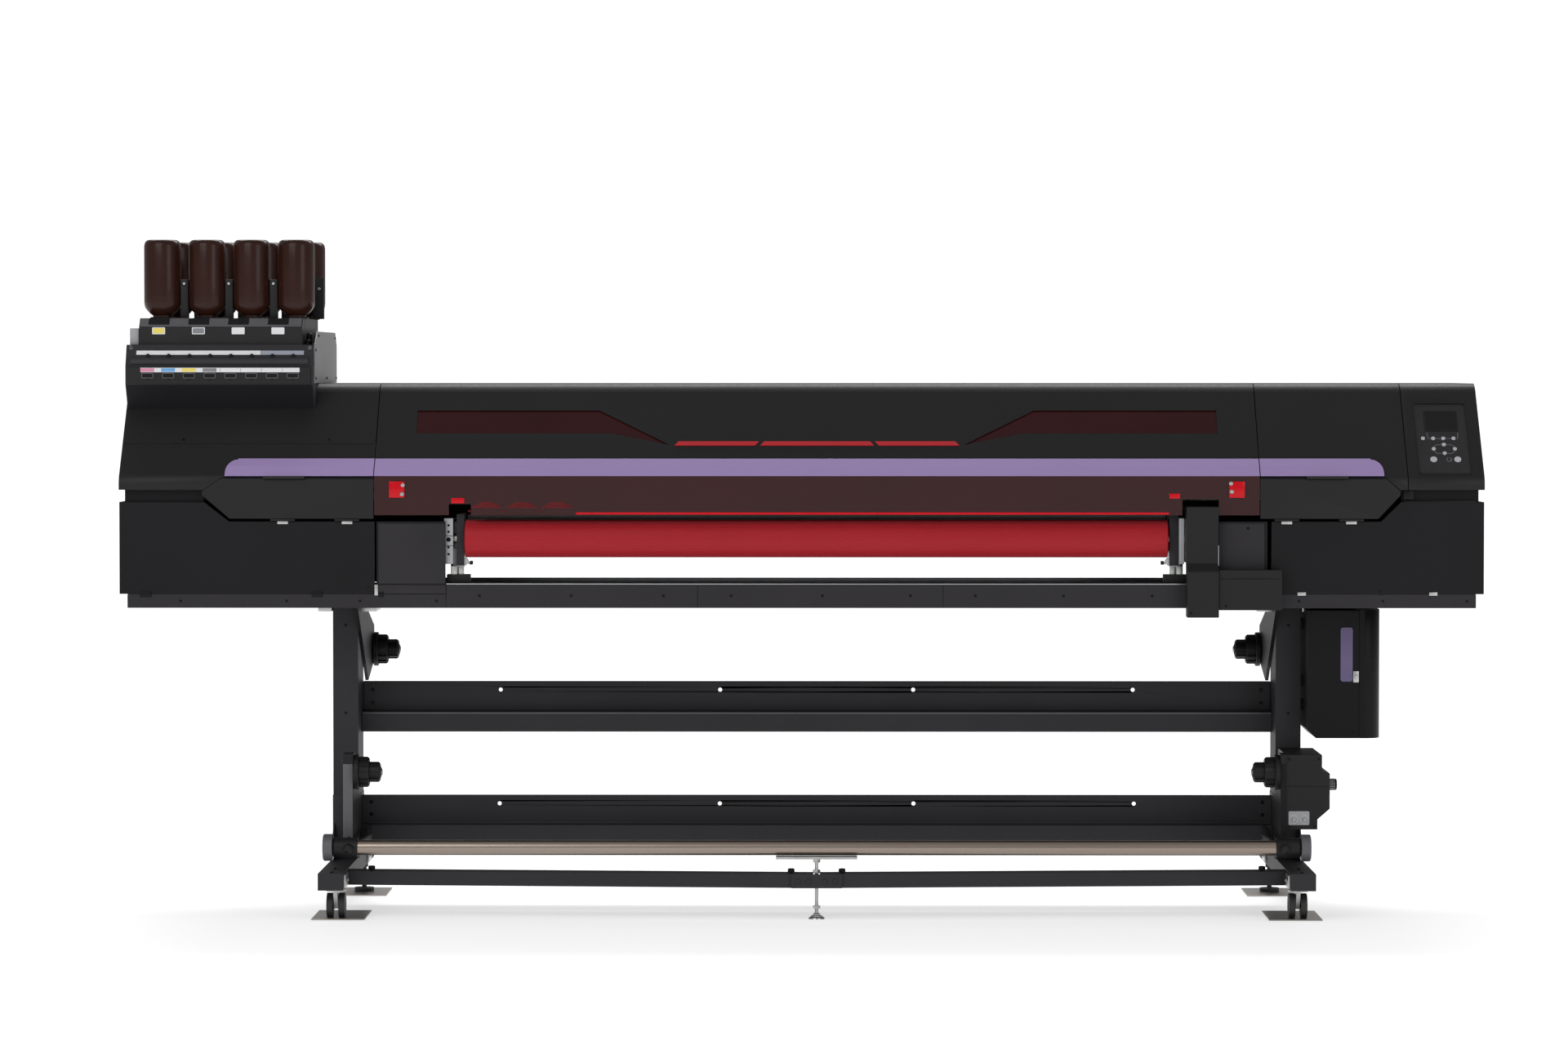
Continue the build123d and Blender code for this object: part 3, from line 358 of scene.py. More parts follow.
# Spring clamps hold the edge of the web on the platen, at the left of the media path.
clamps = bmesh.new()
for x in (-800, -714, -628):
    for half, z0, z1 in ((40, 966.3, 971), (30, 971, 976), (18, 976, 980), (9, 980, 984)):
        bar(clamps, (x - half, -194, z0), (x + half, -170, z1), 0.5)
clamp_red = surface("red_abs", "#a3121c", "#b8161f", 0.002, 0.00005, {}, 0.05, (0.35, 0.45))
piece("media_clamps", clamps, clamp_red)

# ---- Covers ----
# Moulded ABS shells with a fine texture: a lid across the media path, one shell over each
# station and a flat back. Seams of 2 mm part them, and small black screws hold them.

finish(["left_station_cover", "right_station_cover", "control_cover", "front_cover", "rear_cover"],
       abs_cover, 0.8)

slope_head = Vector((0, -105, 1305))
slope_foot = Vector((0, -312, 1071))
run = (slope_head - slope_foot).normalized()
out_of_face = Vector((0, -run.z, run.y))


def on_face(x, z, out=0.0):
    """A point over the sloping face, from its height and its distance out of the face."""
    along = (z - slope_foot.z) / run.z
    p = slope_foot + run * along + out_of_face * out
    return spot(x, p.y, p.z)


def join_rings(form, rings):
    """Join each ring of corners to the next."""
    for a, b in zip(rings, rings[1:]):
        for i in range(len(a)):
            j = (i + 1) % len(a)
            form.faces.new((a[i], a[j], b[j], b[i]))


def plate(form, *outlines):
    """Add a closed plate between two matching outlines of points."""
    rings = [[form.verts.new(p) for p in outline] for outline in outlines]
    form.faces.new(rings[0][::-1])
    form.faces.new(rings[1])
    join_rings(form, rings)


def sloped(form, outline, out, thickness):
    """Add a plate that lies on the sloping face, from an outline of (x, height) points."""
    plate(form, *[[on_face(x, z, level) for x, z in outline] for level in (out, out + thickness)])


def upright(form, outline, y0, y1):
    """Add a plate that stands facing the operator, from an outline of (x, height) points."""
    plate(form, *[[spot(x, y, z) for x, z in outline] for y in (y0, y1)])


def rounded(x0, x1, z0, z1, r, steps=6):
    """An outline with rounded corners."""
    corners = ((x1 - r, z1 - r, 0), (x0 + r, z1 - r, 90), (x0 + r, z0 + r, 180),
               (x1 - r, z0 + r, 270))
    turns = [(x, z, math.radians(start + 90 * i / steps))
             for x, z, start in corners for i in range(steps + 1)]
    return [(x + r * math.cos(t), z + r * math.sin(t)) for x, z, t in turns]


left_end = (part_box("left_station_cover")[0].x - middle) / mm
right_end = (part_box("control_cover")[1].x - middle) / mm
strip = bmesh.new()
sloped(strip, [(left_end + 3, 1157), (-1090, 1157), (-1090, 1175), (left_end + 3, 1175)],
       -0.5, 1.4)
piece("station_strip", strip, abs_cover)

cover_screws = bmesh.new()
for x in (-1560, -1200):
    screw(cover_screws, on_face(x, 1166, 0.9), out_of_face, 3.5)
for side, x in ((leftward, left_end + 19), (rightward, right_end - 19)):
    for y in (-240, -60, 150, 340):
        screw(cover_screws, spot(x, y, 772), side, 3.6)
piece("cover_screws", cover_screws, black_oxide)

# Shadow gaps part the control cover's lower corner from the panel beside it.
gaps = bmesh.new()
bar(gaps, (1437, -300.6, 1022), (1461, -298, 1044), 0.2)
bar(gaps, (1437, -300.6, 1013), (right_end - 20, -298, 1018), 0.2)
piece("panel_gaps", gaps, black_oxide)

# ---- Trim ----
# A two-facet band of satin violet plastic runs under the lid and on to both stations, with
# three slim red bars above it. It is moulded in colour and snaps into the shells.

# Satin violet plastic: smooth, with a soft reflection and hardly any grain.
violet = surface("violet_satin_plastic", "#937eae", "#9c87b7", 0.0009, 0.00002,
                 {"Specular IOR Level": 0.5}, 0.5, (0.3, 0.36))
finish(["trim_center", "trim_sides"], violet, 1.2)

bars = bmesh.new()
for x0, x1, lean_left, lean_right in ((-350, -152, 10, 10), (-139, 141, 10, -10),
                                      (153, 351, -10, -10)):
    sloped(bars, [(x0, 1152), (x1, 1152), (x1 + lean_right, 1162), (x0 + lean_left, 1162)],
           -0.5, 2.2)
accent = surface("red_gloss_plastic", "#a60c1a", "#b8111f", 0.001, 0.00001,
                 {"Coat Weight": 0.4}, 0.2, (0.18, 0.26))
piece("accent_bars", bars, accent, "front_cover")

notches = bmesh.new()
for x0, x1 in ((-1356, -1254), (1198, 1300)):
    upright(notches, rounded(x0, x1, 1072, 1079, 3), -322.5, -300)
piece("finger_notches", notches, nylon)

# ---- Tinted windows and visor ----
# Clear acrylic sheet, dyed dark red to stop the curing light. Two slanted windows are fixed
# inside the lid, and the visor hangs below the trim on two red hinge blocks.


def acrylic(name, dark, light, clear, rough):
    """Dyed acrylic: glossy, so that only strong shapes show through it."""
    made = bpy.data.materials.new(name)
    made.use_nodes = True
    tree = made.node_tree
    tree.nodes.clear()
    where = add(tree, "ShaderNodeTexCoord", {})
    wave = add(tree, "ShaderNodeTexNoise", {"Scale": 7, "Detail": 1},
               {"Vector": where.outputs["Object"]})
    bump = add(tree, "ShaderNodeBump", {"Strength": 0.2, "Distance": 0.0006},
               {"Height": wave.outputs["Fac"]})
    tone = add(tree, "ShaderNodeMix", {"data_type": "RGBA", 6: linear(dark), 7: linear(light)},
               {0: wave.outputs["Fac"]})
    skin = add(tree, "ShaderNodeBsdfPrincipled",
               {"Roughness": rough, "IOR": 1.49, "Specular IOR Level": 0.14,
                "Transmission Weight": clear},
               {"Base Color": tone.outputs[2], "Normal": bump.outputs["Normal"]})
    add(tree, "ShaderNodeOutputMaterial", {}, {"Surface": skin.outputs["BSDF"]})
    return made


visor_tint = acrylic("dark_red_acrylic", "#330d0f", "#3d1013", 0.3, 0.14)
finish(["red_windows"], visor_tint, 0)

# Brackets behind the windows carry the lid's stiffener.
stays = bmesh.new()
for side in (-1, 1):
    for x in (side * v for v in (984, 836, 686, 534)):
        sloped(stays, [(x - 9, 1180), (x + 9, 1180), (x + 9, 1238), (x - 9, 1238)], -16, 8)
piece("window_brackets", stays, anodised, "front_cover")

# The visor's polished edge, two small patches on its face and its hinge blocks are drawn in a
# bright red: red acrylic with a painted highlight where they catch the light.
red_acrylic_highlight = acrylic("red_acrylic_painted_highlight", "#c40a18", "#d40e1e", 0.15, 0.15)
edges = bmesh.new()
visor_y = -308.5
bar(edges, (-590, visor_y - 1.2, 984.5), (862, visor_y + 1, 990), 0.3)
for x0, x1, z0, z1 in ((-895, -863, 1012, 1025), (863, 889, 1024, 1036)):
    bar(edges, (x0, visor_y - 3, z0), (x1, visor_y + 1, z1), 0.8)
block_face = -317.5
for x0, x1 in ((-1047, -1009), (1009, 1047)):
    bar(edges, (x0, block_face, 1026), (x1, -306, 1066), 1.2)
piece("visor_hinge_blocks_and_highlights", edges, red_acrylic_highlight, "front_cover")

hinge_screws = bmesh.new()
for x, z in ((-1013, 1057), (-1015, 1035), (1013, 1061), (1015, 1041)):
    screw(hinge_screws, spot(x, block_face, z), front, 5)
piece("hinge_screws", hinge_screws, zinc, "front_cover")

# Stepped pads and studs on the visor's face are milled from the same red sheet.
pads = bmesh.new()
for x in (-808, -722, -636):
    for half, z in ((9, 1016), (18, 1011), (27, 1006), (36, 1001)):
        bar(pads, (x - half, visor_y - 0.8, z), (x + half, visor_y + 0.6, z + 4), 0.3)
    turn(pads, spot(x - 43, visor_y + 0.5, 993), front,
         [(0, 0), (0, 3), (1.8, 2.6), (1.8, 0)], 12)
pad_tint = acrylic("deep_red_acrylic", "#5c0c12", "#6a1016", 0.1, 0.25)
piece("visor_pads", pads, pad_tint, "front_cover")

# ---- Maintenance covers and lower panels ----
# Each nose cover drops on two hinge pins to reach the capping station. The steel panels under
# them are powder coated in graphite and held by spring clips and screws.

finish(["left_nose_cover", "right_nose_cover"], abs_cover, 1.0)
# Powder coat on the outer panels: nearly black.
station_coat = surface("black_violet_powder_coat", "#131214", "#18171a", 0.0012, 0.00012,
                       {"Specular IOR Level": 0.15}, rough=(0.48, 0.6))
finish(["front_panels"], station_coat, 1.0)
fillers = bmesh.new()
for x0, x1 in ((-1074, -911), (986, 1096)):
    bar(fillers, (x0, -300.5, 815), (x1, -299, 962), 0.3)
piece("inner_panel_skins", fillers, panel_coat)

tabs = bmesh.new()
for side in (-1, 1):
    for x in (1151, 1309):
        bar(tabs, (side * x - 13, -303, 961), (side * x + 13, -300.4, 969), 0.5)
for x0, x1 in ((1178, 1198), (1500, 1520)):
    bar(tabs, (x0, -302.5, 786), (x1, -299.8, 794), 0.5)
bar(tabs, (-1084, -302, 786), (-1076, -299.8, 812), 0.5)
piece("hinge_tabs", tabs, zinc)

clips = bmesh.new()
for x0, x1 in ((-1660, -1632), (-1238, -1212), (-1074, -1062)):
    bar(clips, (x0, -303, 782), (x1, -299.5, 794), 0.8)
bar(clips, (1377, -301, 787), (1389, -299, 799), 0.8)
screw(clips, spot(1057, -300.5, 951), front, 3.2)
for x in (-1100, 1120):
    screw(clips, spot(x, -300, 806), front, 2.6)
piece("panel_clips_and_screws", clips, black_oxide)

# ---- Exit roller and its bearings ----
# A turned steel spindle carries a sleeve of red rubber with fine ribs along it, which grips the
# printed web. It runs in aluminium blocks behind folded side plates.

sleeve_low, sleeve_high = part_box("exit_roller")
roller = (sleeve_low + sleeve_high) / 2
roller_r = (sleeve_high.z - sleeve_low.z) / 2 / mm
path = (-864, 862)
ribs = 72
rib_depth = 0.9

# Ribbed rubber: saturated red, with a dull sheen on the crown of each rib.
rubber = surface("red_ribbed_rubber", "#9b0d19", "#a61423", 0.0015, 0.00006,
                 {"Specular IOR Level": 0.35}, 0.3, (0.42, 0.52))
sleeve = bmesh.new()
shape = []
for i in range(ribs):
    for share, depth in ((0, 0), (0.45, 0), (0.6, rib_depth), (0.85, rib_depth)):
        t = math.tau * (i + share) / ribs
        shape.append(((roller_r - depth) * math.cos(t), (roller_r - depth) * math.sin(t)))
ends = []
for x, shrink in ((path[0], 0.96), (path[0] + 2, 1), (path[1] - 2, 1), (path[1], 0.96)):
    ends.append([sleeve.verts.new(Vector((middle + x * mm, roller.y + y * shrink * mm,
                                          roller.z + z * shrink * mm))) for y, z in shape])
join_rings(sleeve, ends)
sleeve.faces.new(ends[0][::-1])
sleeve.faces.new(ends[-1])
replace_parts(piece("roller_sleeve", sleeve, rubber, "exit_roller", sharp=25),
            "exit_roller")

spindle = bmesh.new()
long = (sleeve_high.x - sleeve_low.x) / mm
turn(spindle, Vector((sleeve_low.x, roller.y, roller.z)), rightward,
     [(0, 0), (0, 11), (1.5, 12), (44, 12), (44, 20), (50, 20), (50, 12), (long - 1, 12),
      (long, 11), (long, 0)], 32)
pulley_x = 912
turn(spindle, Vector((middle + pulley_x * mm, roller.y, roller.z)), rightward,
     [(0, 0), (0, 38), (2, 38), (2, 35), (22, 35), (22, 38), (24, 38), (24, 0)], 48)
piece("roller_spindle", spindle, bright_steel, "exit_roller")

finish(["roller_brackets"], anodised, 1.0)
finish(["motor_pulley"], anodised, 0.4)
side_plates = bmesh.new()
for side, inner, wide in ((-1, 866, 18), (1, 866, 22)):
    x = sorted((side * inner, side * (inner + wide)))
    bar(side_plates, (x[0] - 0.4, -273.5, 858), (x[1] + 0.4, -271.6, 984), 0.6)
piece("roller_side_plates", side_plates, panel_coat)

holes = bmesh.new()
block_x = -904
for z, r in ((957, 3), (941, 3), (922, 5.5), (903, 3), (886, 3)):
    screw(holes, spot(block_x, -275, z), front, r)
for z in (931, 907):
    bar(holes, (block_x - 11, -275.6, z - 0.7), (block_x + 11, -274, z + 0.7), 0.1)
piece("block_screws", holes, black_oxide)

clamp_bits = bmesh.new()
clamp_feet = bmesh.new()
for side in (-1, 1):
    for form, near, far, y0, y1, z0, z1 in ((clamp_feet, 852, 909, -272, -232, 815, 836),
                                            (clamp_bits, 868, 880, -262, -244, 828, 857),
                                            (clamp_bits, 884, 899, -266, -250, 832, 856),
                                            (clamp_feet, 846, 853, -264, -242, 860, 869)):
        x = sorted((side * near, side * far))
        bar(form, (x[0], y0, z0), (x[1], y1, z1), 1)
    wedge = ((852, 861), (866, 861), (866, 875), (860, 875))
    upright(clamp_bits, [(side * x, z) for x, z in wedge], -262, -244)
piece("clamp_brackets", clamp_bits, zinc)
piece("clamp_feet", clamp_feet, nylon)

# A rounded rail of extruded aluminium stands above the roller, in front of the platen.
guide = bmesh.new()
turn(guide, spot(-862, -197, 977), rightward,
     [(0, 0), (0, 4), (1, 5.2), (1723, 5.2), (1724, 4), (1724, 0)], 20)
bar(guide, (-862, -199, 966.3), (862, -195, 974), 0.5)
# Satin nickel paint: warm grey.
nickel_paint = surface("satin_nickel_paint", "#857c7c", "#938a8a", 0.001, 0.00002, {}, 0.2,
                       (0.34, 0.42))
piece("web_guide_rail", guide, nickel_paint)

# ---- Roller drive ----
# A moulded cover hides the belt between the motor below and the roller above. Three screws and a
# seam show on its front.

finish(["drive_cover"], abs_cover, 1.6)
drive_screws = bmesh.new()
for x, y, z in ((914, -352, 854), (914, -352, 745), (1000, -345, 762)):
    screw(drive_screws, spot(x, y, z), front, 3.2)
bar(drive_screws, (984, -346, 828), (1134, -344.5, 829.5), 0.2)
piece("drive_cover_screws", drive_screws, black_oxide)

# ---- Ink supply ----
# Eight one-litre bottles of brown polyethylene stand upside down in a black tray on a painted
# steel cabinet. A flap on its front has eight chip slots, with colour marks over the first four.

finish(["ink_cabinet"], panel_coat, 1.0)
finish(["bottle_tray"], nylon, 1.5)
finish(["chip_flap"], abs_cover, 0.6)
# Satin grey paint on the side panel.
grey_paint = surface("grey_satin_paint", "#5c5c5e", "#646466", 0.0012, 0.00006, {}, 0.3,
                     (0.36, 0.44))
finish(["ink_side_panel"], grey_paint, 0.8)

# Brown polyethylene: dark, a little waxy, with soft upright highlights.
polyethylene = surface("brown_polyethylene", "#27130e", "#321a13", 0.004, 0.0001,
                       {"Subsurface Weight": 0.05, "Subsurface Radius": (0.004, 0.001, 0.0005),
                        "Coat Weight": 0.12, "Coat Roughness": 0.08, "Specular IOR Level": 0.12},
                       0.06, (0.24, 0.34))
low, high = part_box("ink_bottles")
bottle_r = 45.5
bottle_base = high.z / mm
neck_z = low.z / mm
pitch = ((high.x - low.x) / mm - 2 * bottle_r) / 3
first_x = (low.x - middle) / mm + bottle_r
rows = (low.y / mm + bottle_r, high.y / mm - bottle_r)
tall = bottle_base - neck_z
bottle = [(0, 0), (0, 21), (28, 21), (29, 24), (34, 24), (36, 27), (40, 32), (46, 38), (53, 43),
          (60, 45), (68, bottle_r), (tall - 16, bottle_r), (tall - 9, 44.2), (tall - 4, 41.5),
          (tall - 1, 37), (tall, 33), (tall, 29), (tall - 3, 25), (tall - 4, 0)]
necks = [(first_x + pitch * i, y) for y in rows for i in range(4)]
bottles = bmesh.new()
for x, y in necks:
    turn(bottles, spot(x, y, neck_z), above, bottle, 48)
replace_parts(piece("bottles", bottles, polyethylene, sharp=50), "ink_bottles")

tray_low, tray_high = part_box("bottle_tray")
tray_top = tray_high.z / mm
tray_face = tray_low.y / mm
collars = bmesh.new()
for x, y in necks:
    turn(collars, spot(x, y, tray_top - 1), above,
         [(0, 0), (0, 31), (3, 31), (4, 29), (4, 24.5), (0.5, 24.5), (0.5, 0)], 40)
piece("bottle_collars", collars, nylon)

# Pale slips on the tray's bevel leave a gap at each neck, and a mark on its face names each ink.
slips = bmesh.new()
bevel = 22
slip_thick = 0.9
half_gap = 26
mark_x = [first_x - 2 + 98.5 * i for i in range(4)]
starts = [(tray_low.x - middle) / mm + 2] + [x + half_gap for x in mark_x]
stops = [x - half_gap for x in mark_x] + [(tray_high.x - middle) / mm - 2]


def bevel_slip(x0, x1, inset0, inset1):
    """Add a strip on the tray's bevel, between two insets from the bevel's foot."""
    ring = ((x0, inset0), (x1, inset0), (x1, inset1), (x0, inset1))
    plate(slips, *[[spot(x, tray_face + inset - out, tray_top - bevel + inset + out)
                    for x, inset in ring] for out in (0, slip_thick)])


for x0, x1 in zip(starts, stops):
    if x1 - x0 >= 4:
        bevel_slip(x0, x1, 5, bevel - 1)
bevel_slip(starts[0], stops[-1], 0.8, 4.8)
slip_grey = surface("slate_grey_abs", "#505054", "#5a5a5e", 0.0015, 0.00005, {}, 0.1, (0.4, 0.5))
piece("tray_slips", slips, slip_grey)
pale = surface("pale_grey_abs", "#8d8d90", "#9b9b9e", 0.0015, 0.00005, {}, 0.1, (0.4, 0.5))
sensor = bmesh.new()
bar(sensor, (-1701, tray_face + 6, 1401.2), (-1679, tray_face + 40, 1442), 1.5)
piece("ambient_sensor", sensor, pale)

ink_colours = {"pink": "#c97f9b", "blue": "#5f9bce", "yellow": "#dcc85c", "grey": "#77787c",
               "white": "#d4d4d6"}


def film(name, code):
    """Printed polyester film: smooth and even, with a faint print grain."""
    return surface(name, code, code, 0.0008, 0.00001, {"Coat Weight": 0.2}, 0.05, (0.3, 0.36))


films = {name: film(f"{name}_film", code) for name, code in ink_colours.items()}
for i, name in enumerate(("yellow", "grey", "white", "white")):
    x = mark_x[i]
    label = bmesh.new()
    upright(label, rounded(x - 16, x + 16, tray_top - 40, tray_top - 23, 2),
            tray_face - 0.5, tray_face + 0.3)
    piece(f"tray_label_{i + 1}", label, films["white"])
    cell = bmesh.new()
    upright(cell, rounded(x - 14, x + 14, tray_top - 38, tray_top - 25, 1.5),
            tray_face - 0.8, tray_face)
    piece(f"tray_label_{i + 1}_cell", cell, films[name])

# A moulded rib stands between each pair of bottles, with a turned rod end on its head. Valves
# and hoses leave the tray at its right.
arms = bmesh.new()
rods = bmesh.new()
half_rib = (pitch - 2 * bottle_r) / 2 - 0.4
rod_end = [(0, 0), (0, 4), (5, 4), (6, 3), (6, 0)]
for y in rows:
    for i in range(3):
        x = first_x + pitch * (i + 0.5)
        bar(arms, (x - half_rib, y - 12, tray_top), (x + half_rib, y + 12, tray_top + 96), 1.5)
        turn(rods, spot(x, y - 12, tray_top + 86), front, rod_end, 16)
    for k in range(2):
        turn(arms, spot(-1264, y - 20 + 34 * k, 1401), above,
             [(0, 0), (0, 7), (11 + 16 * k, 7), (13 + 16 * k, 5), (13 + 16 * k, 0)], 16)
bar(arms, (-1275, 118, tray_top), (-1246, 130, 1572), 1.5)
turn(rods, spot(-1258, 118, 1543), front, rod_end, 16)
piece("bottle_ribs_and_valves", arms, nylon)
piece("rib_rod_ends", rods, zinc)

# The cabinet's front: a pale strip, a half-round rail with eight knobs, and the flap below.
ink_low, ink_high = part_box("ink_cabinet")
ink_x = ((ink_low.x - middle) / mm, (ink_high.x - middle) / mm)
ink_front = -203
brow_foot = 1347
brow_back, brow_rise = 25, 54
ink_brow = Vector((0, brow_back, brow_rise)).normalized()
lean = Vector((0, -ink_brow.z, ink_brow.y))


def on_brow(x, z, out=0.0):
    """A point over the cabinet's leaning front, above the flap."""
    back_by = (z - brow_foot) * brow_back / brow_rise
    return spot(x, ink_front + back_by - out * ink_brow.z, z + out * ink_brow.y)


for name, x0, x1, ink in (("cabinet_strip", -1681, -1374, films["white"]),
                          ("cabinet_strip_end", -1373, -1267, film("slate_blue_film", "#8b909c"))):
    strip = bmesh.new()
    ring = ((x0, 1376), (x1, 1376), (x1, 1386), (x0, 1386))
    plate(strip, *[[on_brow(x, z, out) for x, z in ring] for out in (-0.4, 0.8)])
    piece(name, strip, ink)

half_round = bmesh.new()
arc = [math.pi * i / 12 for i in range(13)]
plate(half_round, *[[on_brow(x, 1361) + lean * (7 * mm * math.sin(t))
                     + ink_brow * (10 * mm * math.cos(t)) for t in arc]
                    for x in (ink_x[0] + 12, ink_x[1] - 12)])
piece("cabinet_rail", half_round, frame_coat)

slot_x = [-1652 + 51.3 * i for i in range(8)]
valve_knobs = bmesh.new()
for x in slot_x:
    turn(valve_knobs, on_brow(x, 1373, -0.5), lean,
         [(0, 0), (0, 5), (5, 4.5), (6.5, 3), (6.5, 0)], 16)
piece("valve_knobs", valve_knobs, black_oxide)

cabinet_screws = bmesh.new()
for x in (-1695, -1253):
    screw(cabinet_screws, on_brow(x, 1393, 0), lean, 5)
piece("cabinet_screws", cabinet_screws, slip_grey)
side_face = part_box("ink_side_panel")[1].x
side_screws = bmesh.new()
for y, z in ((-165, 1318), (-165, 1388), (380, 1318), (350, 1420), (-90, 1424), (120, 1318)):
    screw(side_screws, Vector((side_face, y * mm, z * mm)), rightward, 3.6)
piece("side_panel_screws", side_screws, black_oxide)

# The cabinet's chin leans back under the flap. A thin plate over it in the nearly black coat is
# painted shade, for the shadow that the flap casts there.
chin = bmesh.new()
chin_x = (ink_x[0] + 2, ink_x[1] - 2)
ring = ((chin_x[0], 0), (chin_x[1], 0), (chin_x[1], 0.97), (chin_x[0], 0.97))
plate(chin, *[[spot(x, -160.6 - 42.4 * t - 0.81 * out, 1244.2 + 58.3 * t - 0.58 * out)
               for x, t in ring] for out in (-0.3, 0.4)])
piece("cabinet_chin_shade", chin, station_coat)

flap_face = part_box("chip_flap")[0].y / mm
slot_rims = bmesh.new()
slot_forms = bmesh.new()
for x in slot_x:
    upright(slot_rims, rounded(x - 14.5, x + 14.5, 1318, 1331, 3),
            flap_face - 0.4, flap_face + 1)
    upright(slot_forms, rounded(x - 13, x + 13, 1319.5, 1329.5, 2),
            flap_face - 0.8, flap_face + 1)
    bar(slot_forms, (x - 4, flap_face - 1.2, 1314), (x + 4, flap_face + 0.5, 1318), 0.4)
piece("chip_slot_rims", slot_rims, slip_grey, "chip_flap")
piece("chip_slots", slot_forms, black_oxide, "chip_flap")
ground = bmesh.new()
bar(ground, (-1669, flap_face - 0.3, 1333), (-1276, flap_face + 0.4, 1344), 0.2)
piece("flap_strip", ground, films["white"], "chip_flap")
for i, name in enumerate(("pink", "blue", "yellow", "grey")):
    mark = bmesh.new()
    bar(mark, (slot_x[i] - 17, flap_face - 0.7, 1334), (slot_x[i] + 17, flap_face, 1343), 0.2)
    piece(f"flap_mark_{i + 1}", mark, films[name], "chip_flap")
dividers = bmesh.new()
for x in slot_x[4:]:
    bar(dividers, (x - 26.2, flap_face - 0.6, 1334), (x - 25.2, flap_face, 1343), 0.1)
piece("flap_dividers", dividers, films["grey"], "chip_flap")

# ---- Control panel ----
# A printed membrane in a rounded bezel lies on the sloping face of the right station, with a
# liquid crystal display and silicone keys.

# Matt polycarbonate film: dark, with a very fine texture.
film_skin = surface("charcoal_polycarbonate", "#151517", "#1a1a1c", 0.0009, 0.00004, {}, 0.1,
                    (0.38, 0.46))
# Silicone keys: pale grey, soft and slightly dusty.
silicone = surface("grey_silicone", "#a4a4a8", "#b3b3b7", 0.0011, 0.00005,
                   {"Sheen Weight": 0.2}, 0.02, (0.5, 0.6))
finish(["control_panel"], film_skin, 0.5)
key_names = sorted(n for n in nodes if n.endswith("_key") or n.startswith("function_key"))
finish(key_names, silicone, 0)



def surround(name, outer, inner, depths, material):
    """Add a frame between two outlines on the sloping face, at four depths round its section."""
    form = bmesh.new()
    rings = [[form.verts.new(on_face(x, z, depth)) for x, z in outline]
             for outline, depth in zip((outer, outer, inner, inner), depths)]
    join_rings(form, rings + rings[:1])
    piece(name, form, material, sharp=30)


panel_x = 1540
panel_up = 133
half_panel = 115.5
z0, z1 = [slope_foot.z + up * run.z for up in (panel_up - half_panel, panel_up + half_panel)]
surround("panel_bezel", rounded(panel_x - 66, panel_x + 66, z0 - 1, z1 + 1, 9),
         rounded(panel_x - 62.5, panel_x + 62.5, z0 + 1.6, z1 - 1.6, 7), (0.1, 0.9, 0.9, -1.9),
         abs_cover)

glass = surface("display_glass", "#0b0b0c", "#101011", 0.004, 0.00001,
                {"Specular IOR Level": 0.3}, 0.05, (0.2, 0.26))
screen = bmesh.new()
screen_outline = rounded(1503, 1578, 1192, 1235, 1.5)
sloped(screen, screen_outline, -2.2, 1.0)
piece("display", screen, glass)
surround("display_frame", rounded(1499, 1582, 1189, 1238, 2.5), screen_outline,
         (-2.2, -0.9, -0.9, -2.2), nylon)

# Printed lines link the function keys to the display, and the arrow keys to each other.
lines = bmesh.new()


def stroke(points, wide=0.55):
    """Print a line of (across, up the slope) points on the panel."""
    for (x0, u0), (x1, u1) in zip(points, points[1:]):
        length = math.hypot(x1 - x0, u1 - u0)
        dx, du = (x1 - x0) / length * wide, (u1 - u0) / length * wide
        ring = [(x0 - dx + du, u0 - du - dx), (x1 + dx + du, u1 + du - dx),
                (x1 + dx - du, u1 + du + dx), (x0 - dx - du, u0 - du + dx)]
        sloped(lines, [(panel_x + x, slope_foot.z + u * run.z) for x, u in ring], -2.1, 0.3)


keys = {}
for name in key_names:
    low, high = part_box(name)
    away = (low + high) / 2 / mm - slope_foot
    keys[name] = (away.x - middle / mm - panel_x, away.y * run.y + away.z * run.z)
row = sorted(keys[f"function_key_{i}"] for i in range(1, 5))[1:]
gap = 6.5
x, u = row[0]
stroke([(x - 14, u + 19), (x - 13, u + 3), (x - 11, u), (x - gap, u)])
for near, far in zip(row, row[1:]):
    stroke([(near[0] + gap, u), (far[0] - gap, u)])
x = row[2][0]
stroke([(x + gap, u), (x + 9, u), (x + 11, u + 3), (x + 12, u + 19)])
(ax, au), (bx, bu) = keys["arrow_left_key"], keys["arrow_right_key"]
for x, u, turn_up in ((*keys["arrow_up_key"], 1), (*keys["arrow_down_key"], -1)):
    stroke([(ax + 1, au + turn_up * gap), (ax + 7, u), (x - gap, u)])
    stroke([(x + gap, u), (bx - 7, u), (bx - 1, bu + turn_up * gap)])
x, u = keys["start_key"][0] - 21, keys["start_key"][1]
arc = [math.radians(a) for a in range(120, 421, 30)]
stroke([(x + 6 * math.cos(t), u + 6 * math.sin(t)) for t in arc], 0.8)
piece("panel_lines", lines, film("violet_grey_print", "#77707f"))

# ---- Reel holders ----
# Stepped core holders of glass-filled nylon with fins grip 2 and 3 inch cores, and a steel tip
# locks each on its spindle. Bent steel arms and uprights carry them.

